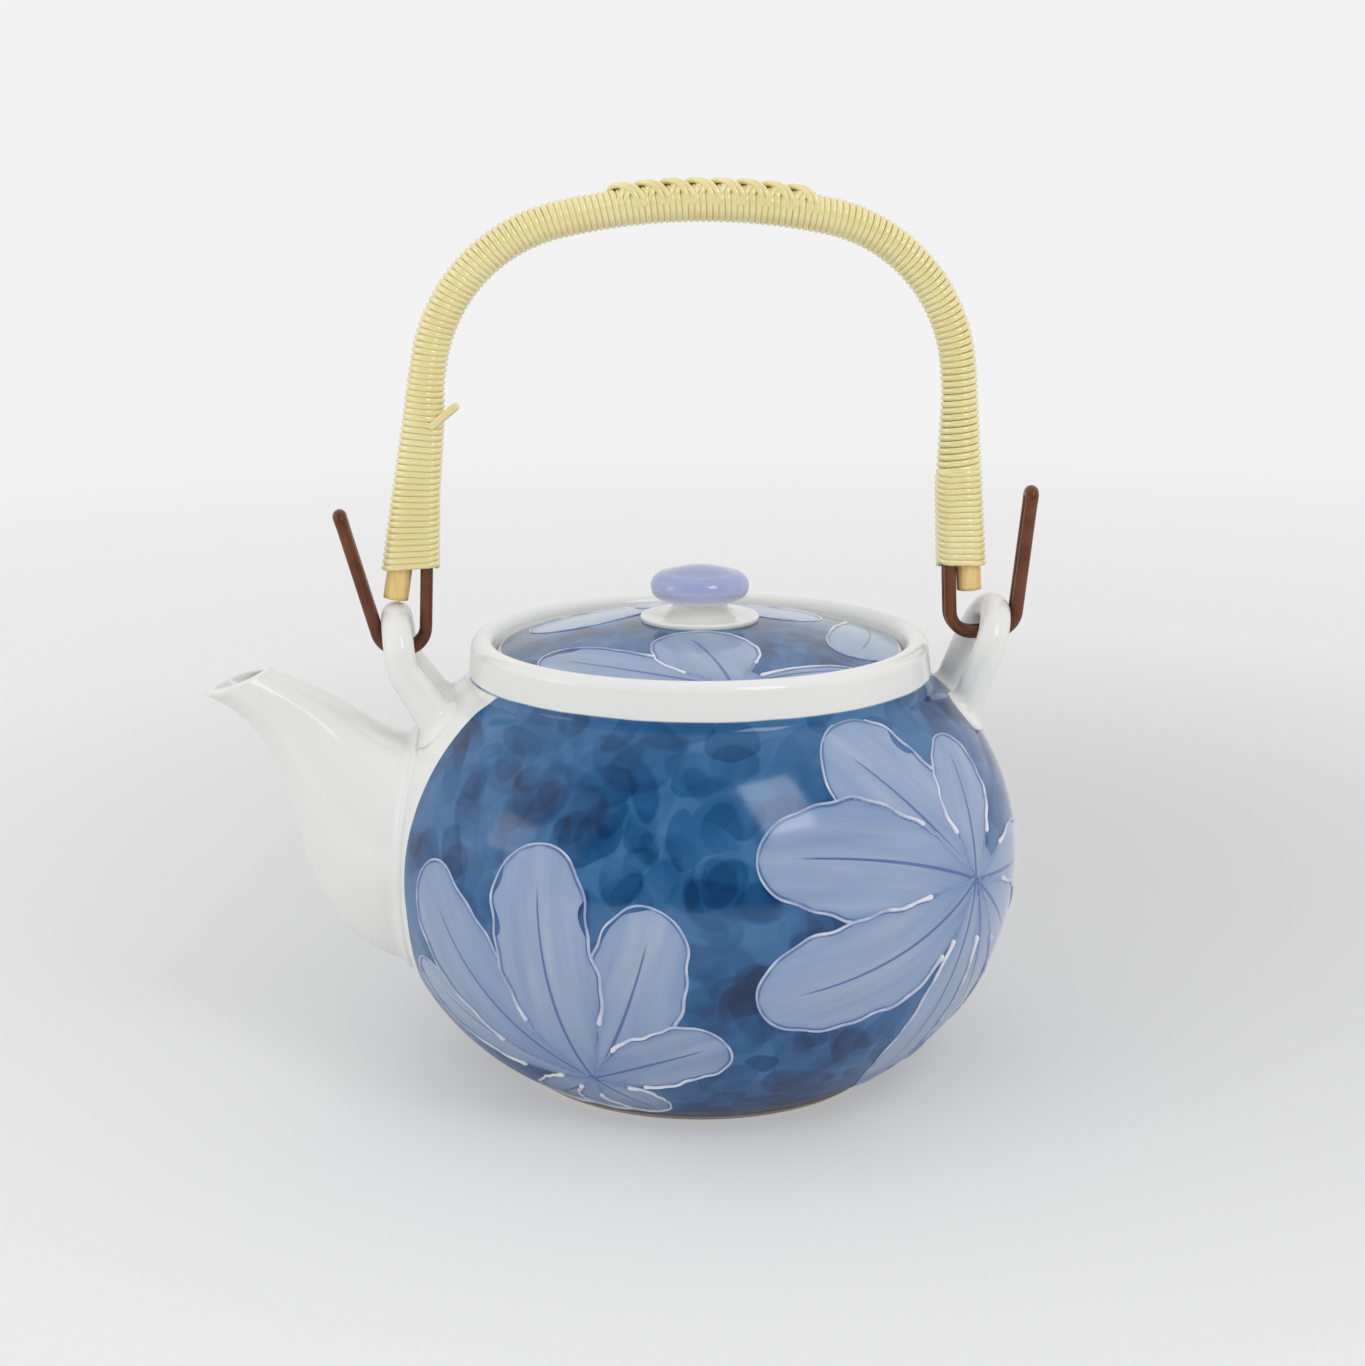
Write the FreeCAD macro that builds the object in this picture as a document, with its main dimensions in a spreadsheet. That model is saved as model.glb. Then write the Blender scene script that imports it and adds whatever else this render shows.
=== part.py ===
import FreeCAD, Part
import math
import os
import Sketcher

# Teapot with a lift-off lid and a wound cane bail.
# Millimetres and degrees, +Z up, origin at the centre of the foot on the table, spout along -X.

SIZES = {
    # pot wall
    "belly_radius": 78.0,
    "belly_height": 55.0,
    "shoulder_rise": 43.05,
    "wall": 3.6,
    "foot_radius": 44.0,
    "foot_width": 4.5,
    "foot_height": 2.4,
    "foot_flare": 2.866,
    "recess_depth": 2.2,
    "floor_thickness": 3.8,
    "collar_flare": 0.8,
    "neck_height": 8.05,
    "ledge_width": 4.4,
    "ledge_thickness": 1.8,
    "gallery_depth": 6.0,
    "rim_round": 2.8,
    # lid
    "lid_radius": 49.4,
    "lid_clearance": 0.8,
    "seat_gap": 0.3,
    "lid_edge_round": 1.3,
    "lid_rise": 8.1,
    "lid_wall": 3.6,
    "flange_clearance": 0.7,
    "flange_wall": 3.0,
    "flange_depth": 7.0,
    "vent_radius": 1.5,
    "vent_offset": 22.0,
    # knob
    "knob_base_radius": 14.5,
    "knob_base_thickness": 1.2,
    "knob_stem_radius": 6.5,
    "knob_stem_height": 4.1,
    "knob_radius": 12.0,
    "knob_edge_round": 3.4,
    "knob_crown": 1.6,
    # spout stations: reach past the belly, rise over its height, tilt, half depth and half width
    "spout_base_reach": -4.6,
    "spout_base_rise": 2.0,
    "spout_base_tilt": 3.4,
    "spout_base_depth": 28.1,
    "spout_base_width": 24.5,
    "spout_flank_reach": 11.0,
    "spout_flank_rise": 14.0,
    "spout_flank_tilt": 12.6,
    "spout_flank_depth": 22.8,
    "spout_flank_width": 17.5,
    "spout_neck_reach": 19.8,
    "spout_neck_rise": 30.3,
    "spout_neck_tilt": 15.0,
    "spout_neck_depth": 12.7,
    "spout_neck_width": 11.0,
    "spout_tip_reach": 30.0,
    "spout_tip_rise": 41.2,
    "spout_tip_tilt": 30.0,
    "spout_tip_depth": 6.9,
    "spout_tip_width": 7.9,
    "spout_root_length": 11.0,
    "spout_lip_length": 14.0,
    "spout_wall": 3.0,
    "spout_lip_wall": 2.0,
    "mouth_tilt": 20.0,
    # strainer in the wall behind the spout
    "strainer_radius": 17.0,
    "strainer_clearance": 0.1,
    "strainer_hole_radius": 1.8,
    "strainer_pitch": 6.0,
    # lugs, whose reach is measured past the middle of the shoulder
    "pivot_rise": 5.0,
    "front_lug_reach": 5.05,
    "rear_lug_reach": 2.65,
    "lug_ring_radius": 11.0,
    "lug_bar_radius": 3.7,
    "lug_foot_radius": 5.4,
    "lug_leg_length": 24.0,
    "front_ring_lean": 6.0,
    "rear_ring_lean": 14.0,
    "lug_leg_lean": 33.0,
    # bail
    "bail_rise": 108.8,
    "crown_radius": 150.0,
    "corner_radius": 40.0,
    "cane_radius": 3.0,
    "bail_clearance": 0.7,
    "front_leg_shift": 1.2,
    "front_leg_lean": 9.2,
    "rear_leg_shift": -3.5,
    "rear_leg_lean": 4.3,
    # cord
    "cord_radius": 0.68,
    "cord_pitch": 1.85,
    "wrap_thickness": 1.35,
    "wrap_clearance": 0.05,
    "binding_clearance": 0.16,
    "binding_swell": 0.1,
    "binding_depth_swell": 0.35,
    "binding_gap": 1.6,
    "front_binding_start": 5.8,
    "front_binding_turns": 20,
    "front_tail_length": 9.0,
    "rear_binding_start": 5.0,
    "rear_binding_turns": 13,
    "rear_tail_length": 1.4,
    "tail_lift": 45.0,
    "plait_front": 21.0,
    "plait_rear": 26.5,
    "plait_height": 1.4,
    "plait_half_width": 3.4,
    # hooks
    "wire_radius": 1.4,
    "strand_gap": 0.3,
    "hook_cane_gap": 0.05,
    "hook_outer_room": 0.5,
    "hook_bend_radius": 4.6,
    "hook_tuck": 20.0,
    "front_hook_length": 32.3,
    "front_hook_lean": 16.0,
    "front_hook_room": 0.6,
    "front_hook_drop": 3.0,
    "rear_hook_length": 33.0,
    "rear_hook_lean": 6.0,
    "rear_hook_room": 3.0,
    "rear_hook_drop": 4.8,
}

# Places that follow from the sizes
LAYOUT = {
    "foot_inner": "sizes.foot_radius - sizes.foot_width",
    "foot_join": "sizes.foot_radius + sizes.foot_flare",
    "lower_reach": "sizes.belly_radius - foot_join",
    "lower_rise": "sizes.belly_height - sizes.foot_height",
    "lower_radius": "(lower_reach^2 + lower_rise^2) / (2 * lower_reach)",
    "lower_centre": "sizes.belly_radius - lower_radius",
    "upper_reach": "sizes.belly_radius - collar_radius",
    "upper_radius": "(upper_reach^2 + sizes.shoulder_rise^2) / (2 * upper_reach)",
    "upper_centre": "sizes.belly_radius - upper_radius",
    "inner_belly": "sizes.belly_radius - sizes.wall",
    "inner_lower": "lower_radius - sizes.wall",
    "inner_upper": "upper_radius - sizes.wall",
    "floor_height": "sizes.recess_depth + sizes.floor_thickness",
    "floor_join": "lower_centre + sqrt(inner_lower^2 - (sizes.belly_height - floor_height)^2)",
    "shoulder_height": "sizes.belly_height + sizes.shoulder_rise",
    "neck_seam": "shoulder_height - sizes.neck_height",
    "throat_radius": "sizes.lid_radius - sizes.ledge_width",
    "throat_height": "sizes.belly_height + sqrt(inner_upper^2 - (throat_radius - upper_centre)^2)",
    "ledge_height": "throat_height + sizes.ledge_thickness",
    "rim_side": "ledge_height + sizes.gallery_depth - sizes.rim_round",
    "gallery_radius": "sizes.lid_radius + sizes.lid_clearance",
    "rim_outer": "gallery_radius + 2 * sizes.rim_round",
    "collar_radius": "rim_outer + sizes.collar_flare",
    "seat_height": "ledge_height + sizes.seat_gap",
    "lid_edge_inner": "sizes.lid_radius - sizes.lid_edge_round",
    "lid_edge_top": "seat_height + 2 * sizes.lid_edge_round",
    "dome_top": "lid_edge_top + sizes.lid_rise",
    "dome_radius": "(lid_edge_inner^2 + sizes.lid_rise^2) / (2 * sizes.lid_rise)",
    "dome_centre": "dome_top - dome_radius",
    "under_top": "dome_top - sizes.lid_wall",
    "flange_radius": "throat_radius - sizes.flange_clearance",
    "flange_inner": "flange_radius - sizes.flange_wall",
    "flange_foot": "seat_height - sizes.flange_depth",
    "under_edge": "dome_centre + sqrt((dome_radius - sizes.lid_wall)^2 - flange_inner^2)",
    "knob_seat": "dome_centre + sqrt(dome_radius^2 - sizes.knob_base_radius^2)",
    "knob_base_top": "knob_seat + sizes.knob_base_thickness",
    "knob_under": "dome_top + sizes.knob_stem_height",
    "knob_edge": "sizes.knob_radius - sizes.knob_edge_round",
    "knob_shoulder": "knob_under + 2 * sizes.knob_edge_round",
    "knob_top": "knob_shoulder + sizes.knob_crown",
    "pivot_height": "shoulder_height + sizes.pivot_rise",
    "shoulder_middle": "(sizes.belly_radius + collar_radius) / 2",
    "front_lug_x": "shoulder_middle + sizes.front_lug_reach",
    "rear_lug_x": "shoulder_middle + sizes.rear_lug_reach",
    "cane_end": "pivot_height + sizes.lug_ring_radius + sizes.lug_bar_radius + sizes.bail_clearance",
    "crown_height": "pivot_height + sizes.bail_rise",
    "wrap_inner": "sizes.cane_radius + sizes.wrap_clearance",
    "wrap_outer": "wrap_inner + sizes.wrap_thickness",
    "strand_y": "sizes.wire_radius + sizes.strand_gap / 2",
    "spout_height": "sizes.belly_height + sizes.spout_base_rise",
    "strainer_plate": "sizes.strainer_radius - sizes.strainer_clearance",
    "mouth_block": "4 * sizes.spout_lip_length",
    "seam_block": "2 * sizes.belly_radius",
}

V = FreeCAD.Vector
LEFT = 1
RIGHT = -1
SIDES = {"front": -1, "rear": 1}
STATIONS = ("base", "flank", "neck", "tip")
CORD_SIDES = 4
CLOSE = 1e-4

doc = FreeCAD.newDocument("teapot")


def fill_sheet(name, cells, mark):
    """A sheet with one aliased cell for each entry."""
    sheet = doc.addObject("Spreadsheet::Sheet", name)
    for row, (alias, content) in enumerate(cells.items(), start=1):
        sheet.set(f"A{row}", alias)
        sheet.set(f"B{row}", f"{mark}{content}")
        sheet.setAlias(f"B{row}", alias)
    doc.recompute()
    return sheet


sizes = fill_sheet("sizes", SIZES, "")
layout = fill_sheet("layout", LAYOUT, "=")


def size(name):
    """Value of a size or of a place in the layout."""
    return float(sizes.get(name) if name in SIZES else layout.get(name))


def ref(name):
    """Expression that points at a size or a place in the layout."""
    return f"sizes.{name}" if name in SIZES else f"layout.{name}"


def turn(name):
    """Sine and cosine of a named angle."""
    angle = math.radians(size(name))
    return math.sin(angle), math.cos(angle)


def solid(kind, name, **bound):
    """A primitive or boolean whose properties are bound to named values or set to objects."""
    thing = doc.addObject(f"Part::{kind}", name)
    for key, value in bound.items():
        if isinstance(value, str):
            thing.setExpression(key, ref(value))
        else:
            setattr(thing, key, value)
    return thing


def shaped(name, shape):
    """A piece whose shape is worked out here from the sizes."""
    thing = doc.addObject("Part::Feature", name)
    thing.Shape = shape
    return thing


# Revolved pieces: a profile is a list of corners (reach, height) with an optional arc to the next corner.
# An arc gives the height or the reach of its centre and the side that it bulges to.

def place(name):
    """A named value, or zero on the axis or the table."""
    return size(name) if name else 0.0


def arc_centre(start, end, along, name):
    """Centre of an arc between two points, at a given height or reach."""
    middle = (start + end) / 2
    chord = end - start
    if along == "height":
        shift = (place(name) - middle.y) / chord.x
    else:
        shift = (middle.x - place(name)) / chord.y
    return middle + V(-chord.y, chord.x, 0) * shift


def bind(sketch, kind, edge, end, name, value):
    """Hold a point's reach or height at a named value, or on the axis or the table."""
    if not name:
        axis = -2 if kind == "DistanceX" else -1
        sketch.addConstraint(Sketcher.Constraint("PointOnObject", edge, end, axis))
        return
    row = sketch.addConstraint(Sketcher.Constraint(kind, -1, 1, edge, end, value))
    sketch.setExpression(f"Constraints[{row}]", ref(name))


def add_edge(sketch, start, end, arc):
    """Line or arc from start to end, with the numbers of its first and last point."""
    if not arc:
        return sketch.addGeometry(Part.LineSegment(start, end)), 1, 2
    along, name, side = arc
    centre = arc_centre(start, end, along, name)
    chord = end - start
    across = V(-chord.y, chord.x, 0).normalize() * side
    middle = centre + across * (start - centre).Length
    turns = (start, middle, end) if side == RIGHT else (end, middle, start)
    edge = sketch.addGeometry(Part.Arc(*turns))
    bind(sketch, "DistanceY" if along == "height" else "DistanceX", edge, 3, name, place(name))
    return (edge, 1, 2) if side == RIGHT else (edge, 2, 1)


def revolved(label, corners):
    """A body turned about the pot's axis."""
    body = doc.addObject("PartDesign::Body", label)
    plane = next(feature for feature in body.Origin.OriginFeatures if feature.Role == "XZ_Plane")
    sketch = body.newObject("Sketcher::SketchObject", f"{label}_profile")
    sketch.AttachmentSupport = [(plane, "")]
    sketch.MapMode = "FlatFace"
    points = [V(place(corner[0]), place(corner[1]), 0) for corner in corners]
    edges = []
    for corner, start, end in zip(corners, points, points[1:] + points[:1]):
        edges.append(add_edge(sketch, start, end, corner[2:]))
    for corner, point, here, before in zip(corners, points, edges, edges[-1:] + edges[:-1]):
        sketch.addConstraint(Sketcher.Constraint("Coincident", before[0], before[2], here[0], here[1]))
        bind(sketch, "DistanceX", here[0], here[1], corner[0], point.x)
        bind(sketch, "DistanceY", here[0], here[1], corner[1], point.y)
    revolution = body.newObject("PartDesign::Revolution", f"{label}_turned")
    revolution.Profile = sketch
    revolution.ReferenceAxis = (sketch, ["V_Axis"])
    doc.recompute()
    return body


OUTSIDE = [
    ("foot_radius", None),
    ("foot_join", "foot_height", "height", "belly_height", RIGHT),
    ("belly_radius", "belly_height", "height", "belly_height", RIGHT),
    ("collar_radius", "shoulder_height"),
]

pot_wall = revolved("pot_wall", [
    (None, "recess_depth"),
    ("foot_inner", "recess_depth"),
    ("foot_inner", None),
    *OUTSIDE,
    ("rim_outer", "rim_side", "height", "rim_side", RIGHT),
    ("gallery_radius", "rim_side"),
    ("gallery_radius", "ledge_height"),
    ("throat_radius", "ledge_height"),
    ("throat_radius", "throat_height", "height", "belly_height", LEFT),
    ("inner_belly", "belly_height", "height", "belly_height", LEFT),
    ("floor_join", "floor_height"),
    (None, "floor_height"),
])

# The pot filled up to its rim, which trims what is luted on to it
pot_block = revolved("pot_block", [
    (None, None),
    *OUTSIDE,
    ("rim_outer", "rim_side"),
    (None, "rim_side"),
])

lid_dome = revolved("lid_dome", [
    (None, "dome_top", "reach", None, LEFT),
    ("lid_edge_inner", "lid_edge_top", "reach", "lid_edge_inner", LEFT),
    ("lid_edge_inner", "seat_height"),
    ("flange_radius", "seat_height"),
    ("flange_radius", "flange_foot"),
    ("flange_inner", "flange_foot"),
    ("flange_inner", "under_edge", "reach", None, RIGHT),
    (None, "under_top"),
])

lid_knob = revolved("lid_knob", [
    (None, "dome_top", "reach", None, LEFT),
    ("knob_base_radius", "knob_seat"),
    ("knob_base_radius", "knob_base_top", "height", "knob_under", LEFT),
    ("knob_stem_radius", "knob_under"),
    ("knob_edge", "knob_under", "reach", "knob_edge", RIGHT),
    ("knob_edge", "knob_shoulder", "reach", None, RIGHT),
    (None, "knob_top"),
])

# Vent through the lid, to one side of the knob
vent = solid("Cylinder", "vent", Radius="vent_radius", Height="dome_top")
vent.Placement.Base = V(0, size("vent_offset"), size("flange_foot"))
lid = solid("Cut", "lid", Base=lid_dome, Tool=vent)


# Pot body, shoulder, collar and strainer: the wall is three rings luted together at the belly and the neck,
# and the wall plate behind the spout is pierced with a hexagon of holes

def along_spout(name, radius, across, up):
    """Round bar through the front wall only, level along the spout's side of the pot."""
    bar = solid("Cylinder", name, Radius=radius, Height="belly_radius")
    start = V(-size("belly_radius") / 2, across, size("spout_height") + up)
    bar.Placement = FreeCAD.Placement(start, FreeCAD.Rotation(V(0, 1, 0), -90))
    return bar


def strainer_places():
    """Hole centres on a hexagonal grid, two rings round a middle one."""
    pitch = size("strainer_pitch")
    for row in range(-2, 3):
        for column in range(5 - abs(row)):
            yield pitch * (column - (4 - abs(row)) / 2), pitch * row * math.sqrt(3) / 2


aperture = along_spout("aperture", "strainer_radius", 0, 0)
open_wall = solid("Cut", "open_wall", Base=pot_wall, Tool=aperture)
below_belly = solid("Cylinder", "below_belly", Radius="seam_block", Height="belly_height")
below_neck = solid("Cylinder", "below_neck", Radius="seam_block", Height="neck_seam")
upper_wall = solid("Cut", "upper_wall", Base=open_wall, Tool=below_belly)
pot_body = solid("Common", "pot_body", Base=open_wall, Tool=below_belly)
pot_shoulder = solid("Common", "pot_shoulder", Base=upper_wall, Tool=below_neck)
pot_collar = solid("Cut", "pot_collar", Base=upper_wall, Tool=below_neck)
plate = solid("Common", "plate", Base=pot_wall, Tool=along_spout("plate_bar", "strainer_plate", 0, 0))
holes = [
    along_spout(f"strainer_hole_{number}", "strainer_hole_radius", across, up)
    for number, (across, up) in enumerate(strainer_places(), start=1)
]
drill = solid("MultiFuse", "strainer_holes", Shapes=holes)
strainer = solid("Cut", "strainer", Base=plate, Tool=drill)


# Spout: a loft through oval stations, trimmed by the pot and by the slanted plane of its mouth

def station_axis(tilt):
    """Direction of the spout at a station, away from the pot."""
    sine, cosine = turn(tilt)
    return V(-cosine, 0, sine)


def station_place(name):
    return V(-size("belly_radius") - size(f"spout_{name}_reach"), 0,
             size("belly_height") + size(f"spout_{name}_rise"))


def oval(name, slide, wall):
    """Oval section at a station, moved along the spout by slide and thinned by wall."""
    stretch = FreeCAD.Matrix()
    stretch.scale(1, size(f"spout_{name}_width") - wall, size(f"spout_{name}_depth") - wall)
    ring = Part.Wire(Part.Circle(V(0, 0, 0), V(1, 0, 0), 1).toShape()).transformGeometry(stretch)
    tilt = FreeCAD.Rotation(V(0, 1, 0), size(f"spout_{name}_tilt"))
    middle = station_place(name) + station_axis(f"spout_{name}_tilt") * slide
    ring.Placement = FreeCAD.Placement(middle, tilt)
    return ring


def spout_loft(base_wall, lip_wall):
    """Loft from inside the pot to past the mouth."""
    ovals = [oval(STATIONS[0], -size("spout_root_length"), base_wall)]
    for number, name in enumerate(STATIONS):
        share = number / (len(STATIONS) - 1)
        ovals.append(oval(name, 0, base_wall + (lip_wall - base_wall) * share))
    ovals.append(oval(STATIONS[-1], size("spout_lip_length"), lip_wall))
    return Part.makeLoft(ovals, True, False)


def mouth_cutter():
    """Block over the mouth, whose underside meets the top of the tip station."""
    block = solid("Box", "mouth_cutter", Length="mouth_block", Width="mouth_block", Height="mouth_block")
    sine, cosine = turn("spout_tip_tilt")
    heel = station_place("tip") + V(sine, 0, cosine) * size("spout_tip_depth")
    tilt = FreeCAD.Rotation(V(0, 1, 0), -size("mouth_tilt"))
    half = size("mouth_block") / 2
    block.Placement = FreeCAD.Placement(heel - tilt.multVec(V(half, half, 0)), tilt)
    return block


spout_skin = shaped("spout_skin", spout_loft(0, 0))
spout_channel = shaped("spout_channel", spout_loft(size("spout_wall"), size("spout_lip_wall")))
spout_tools = solid("MultiFuse", "spout_tools", Shapes=[pot_block, spout_channel, mouth_cutter()])
spout = solid("Cut", "spout", Base=spout_skin, Tool=spout_tools)


# Lugs: a half ring on two legs that lean out from the collar, are rounded at the knee and spread at the foot

def lug(name):
    side = SIDES[name]
    sine, cosine = turn(f"{name}_ring_lean")
    up = V(side * sine, 0, cosine)
    sine, cosine = turn("lug_leg_lean")
    down = V(-side * sine, 0, -cosine)
    middle = V(side * size(f"{name}_lug_x"), 0, size("pivot_height"))
    across = V(0, 1, 0)
    ring = solid("Torus", f"{name}_ring", Radius1="lug_ring_radius", Radius2="lug_bar_radius")
    ring.Angle3 = 180
    ring.Placement = FreeCAD.Placement(middle, FreeCAD.Rotation(across, up, across.cross(up), "XYZ"))
    members = [ring]
    for hand in (-1, 1):
        knee = middle + across * hand * size("lug_ring_radius")
        ball = solid("Sphere", f"{name}_lug_knee_{len(members)}", Radius="lug_bar_radius")
        ball.Placement.Base = knee
        leg = solid("Cone", f"{name}_lug_leg_{len(members)}", Height="lug_leg_length",
                    Radius1="lug_bar_radius", Radius2="lug_foot_radius")
        leg.Placement = FreeCAD.Placement(knee, FreeCAD.Rotation(V(0, 0, 1), down))
        members += [ball, leg]
    arch = solid("MultiFuse", f"{name}_arch", Shapes=members)
    return solid("Cut", f"{name}_lug", Base=arch, Tool=pot_block)


lugs = [lug(name) for name in SIDES]


# Bail: two leaning legs, two corner arcs and a flat crown arc, all tangent

def leg_frame(name):
    """End of a cane leg, its direction up the leg, and the direction across it towards the pot's axis."""
    side = SIDES[name]
    sine, cosine = turn(f"{name}_leg_lean")
    end = V(side * (size(f"{name}_lug_x") + size(f"{name}_leg_shift")), 0, size("cane_end"))
    return end, V(-side * sine, 0, cosine), V(-side * cosine, 0, -sine)


def corner(name):
    """Points where a corner arc leaves its leg and meets the crown, with a point between them."""
    end, up, inward = leg_frame(name)
    crown = V(0, 0, size("crown_height") - size("crown_radius"))
    offset = end + inward * size("corner_radius") - crown
    reach = size("crown_radius") - size("corner_radius")
    along = offset.dot(up)
    rise = -along + math.sqrt(along ** 2 - offset.dot(offset) + reach ** 2)
    centre = end + inward * size("corner_radius") + up * rise
    outward = (centre - crown).normalize()
    between = (outward - inward).normalize()
    return end + up * rise, centre + between * size("corner_radius"), crown + outward * size("crown_radius")


def bail_path(front_start, rear_start):
    """Centre line of the bail from a place on the front leg to one on the rear leg."""
    front_end, front_up, _ = leg_frame("front")
    rear_end, rear_up, _ = leg_frame("rear")
    front_bend, front_middle, front_crown = corner("front")
    rear_bend, rear_middle, rear_crown = corner("rear")
    return Part.Wire([
        Part.LineSegment(front_end + front_up * front_start, front_bend).toShape(),
        Part.Arc(front_bend, front_middle, front_crown).toShape(),
        Part.Arc(front_crown, V(0, 0, size("crown_height")), rear_crown).toShape(),
        Part.Arc(rear_crown, rear_middle, rear_bend).toShape(),
        Part.LineSegment(rear_bend, rear_end + rear_up * rear_start).toShape(),
    ])


def swept_bail(name, radius, front_start, rear_start):
    """Round bar along the bail."""
    path = shaped(f"{name}_path", bail_path(front_start, rear_start))
    end, up, _ = leg_frame("front")
    section = solid("Circle", f"{name}_section", Radius=radius)
    section.Placement = FreeCAD.Placement(end + up * front_start, FreeCAD.Rotation(V(0, 0, 1), up))
    edges = [f"Edge{number}" for number in range(1, len(path.Shape.Edges) + 1)]
    return solid("Sweep", name, Sections=[section], Spine=(path, edges), Solid=True)


def binding_end(name):
    """Distance from a cane end to the top of its binding."""
    turns = size(f"{name}_binding_turns") * size("cord_pitch")
    return size(f"{name}_binding_start") + turns + size("binding_gap")


handle_cane = swept_bail("handle_cane", "cane_radius", 0, 0)
wrap_ends = [binding_end(name) for name in SIDES]
grip_wrap = solid("Cut", "grip_wrap", Base=swept_bail("wrap_skin", "wrap_outer", *wrap_ends),
                  Tool=swept_bail("wrap_core", "wrap_inner", *wrap_ends))


def crown_point(across, lift):
    """Point over the crown arc, lifted square to it."""
    radius = size("crown_radius")
    rise = math.sqrt(radius ** 2 - across ** 2)
    return V(0, 0, size("crown_height") - radius) + V(across, 0, rise) * (1 + lift / radius)


def plait():
    """Raised ridge that lies on the wrap along the crown, with a crescent section."""
    start, end = -size("plait_front"), size("plait_rear")
    path = Part.Wire(Part.Arc(crown_point(start, 0), crown_point(0, 0), crown_point(end, 0)).toShape())
    inner = size("wrap_outer") + size("wrap_clearance")
    half = size("plait_half_width")
    edge = math.sqrt(inner ** 2 - half ** 2)
    sides = [crown_point(start, edge) + V(0, hand * half, 0) for hand in (-1, 1)]
    top = crown_point(start, inner + size("plait_height"))
    section = Part.Wire([
        Part.Arc(sides[0], crown_point(start, inner), sides[1]).toShape(),
        Part.Arc(sides[1], top, sides[0]).toShape(),
    ])
    return path.makePipeShell([section], True, False)


grip_plait = shaped("grip_plait", plait())


# Hooks: a doubled wire, folded at its free end, that hangs in the lug beside the end of the cane

def hook_line(name):
    """Corners of a hook in its own plane: the tucked end, both corners of the bend and the free end,
    with the direction of the free leg."""
    side = SIDES[name]
    lug_x = size(f"{name}_lug_x")
    low = size(f"{name}_hook_drop")
    bar = size("lug_bar_radius") + size("wire_radius")
    ring_sine, ring_cosine = turn(f"{name}_ring_lean")
    sine, cosine = turn(f"{name}_hook_lean")
    way = V(side * sine, 0, cosine)
    inner = lug_x - bar - size(f"{name}_hook_room")
    crown = lug_x + size("lug_ring_radius") * ring_sine
    rise = size("lug_ring_radius") * ring_cosine - low
    outer = crown + (bar + size("hook_outer_room") - rise * sine) / cosine
    end, up, inward = leg_frame(name)
    reach = size("cane_radius") + size("wire_radius") + size("hook_cane_gap")
    beside = math.sqrt(reach ** 2 - size("strand_y") ** 2)
    tuck = end + up * (size(f"{name}_binding_start") + size("hook_tuck")) + inward * beside
    foot = size("pivot_height") + low
    heel = V(side * outer, 0, foot)
    return tuck, V(side * inner, 0, foot), heel, heel + way * size(f"{name}_hook_length"), way


def arc_to(start, corner_point, end):
    """Arc from start to end whose tangents meet at a corner point."""
    middle = (start + end) / 2
    half = (end - start).Length / 2
    share = half / (corner_point - start).Length
    sag = half * math.sqrt((1 - share) / (1 + share))
    return Part.Arc(start, middle + (corner_point - middle).normalize() * sag, end).toShape()


def rounded(points, radius):
    """Edges of a line through points, rounded at each corner between its ends."""
    edges = []
    here = points[0]
    for before, point, after in zip(points, points[1:], points[2:]):
        back = (before - point).normalize()
        ahead = (after - point).normalize()
        cut = radius / math.tan(back.getAngle(ahead) / 2)
        edges.append(Part.LineSegment(here, point + back * cut).toShape())
        edges.append(arc_to(point + back * cut, point, point + ahead * cut))
        here = point + ahead * cut
    edges.append(Part.LineSegment(here, points[-1]).toShape())
    return edges


def hook(name):
    *line, way = hook_line(name)
    tuck, toe, _, free = line
    beside = V(0, size("strand_y"), 0)
    bend = size("hook_bend_radius")
    fold = Part.Arc(free - beside, free + way * size("strand_y"), free + beside).toShape()
    path = Part.Wire([
        *rounded([point - beside for point in line], bend),
        fold,
        *rounded([point + beside for point in reversed(line)], bend),
    ])
    section = Part.Wire(Part.Circle(tuck - beside, toe - tuck, size("wire_radius")).toShape())
    return shaped(f"{name}_hook", path.makePipeShell([section], True, False))


hooks = [hook(name) for name in SIDES]


# Bindings: one unbroken cord wound round the cane and the tucked end of the hook

def biarc(start, start_way, end, end_way):
    """Two tangent arcs that leave start and reach end along the given directions."""
    across = end - start
    bend = 2 * (start_way.dot(end_way) - 1)
    pull = -2 * across.dot(start_way + end_way)
    reach = (-pull - math.sqrt(pull ** 2 - 4 * bend * across.dot(across))) / (2 * bend)
    first = start + start_way * reach
    last = end - end_way * reach
    joint = (first + last) / 2
    return [arc_to(start, first, joint), arc_to(joint, last, end)]


def cord_line(name):
    """Function that gives the point of a binding's cord at an angle of its winding."""
    end, up, inward = leg_frame(name)
    tuck, toe, *_ = hook_line(name)
    start = size(f"{name}_binding_start") + size("cord_radius")
    top = start + size(f"{name}_binding_turns") * size("cord_pitch")
    low, high = (toe - end).dot(up), (tuck - end).dot(up)
    wide, narrow = (toe - end).dot(inward), (tuck - end).dot(inward)
    cane = size("cane_radius")
    room = size("cord_radius") + size("binding_clearance")

    def bulge(along):
        """How far the bound shape stands out past the cane on the hook's side."""
        if along < high:
            return wide + (narrow - wide) * (along - low) / (high - low) + size("wire_radius") - cane
        return (narrow + size("wire_radius") - cane) * max(0, top - along) / (top - high)

    def point(angle):
        along = start + size("cord_pitch") * angle / (2 * math.pi)
        past = bulge(along)
        width = cane + past / 2 + room + size("binding_swell") * past
        depth = cane + room + size("binding_depth_swell") * past
        turned = angle - math.pi / 2
        across = inward * (past / 2 + width * math.cos(turned)) + V(0, depth * math.sin(turned), 0)
        return end + up * along + across

    return point


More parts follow.
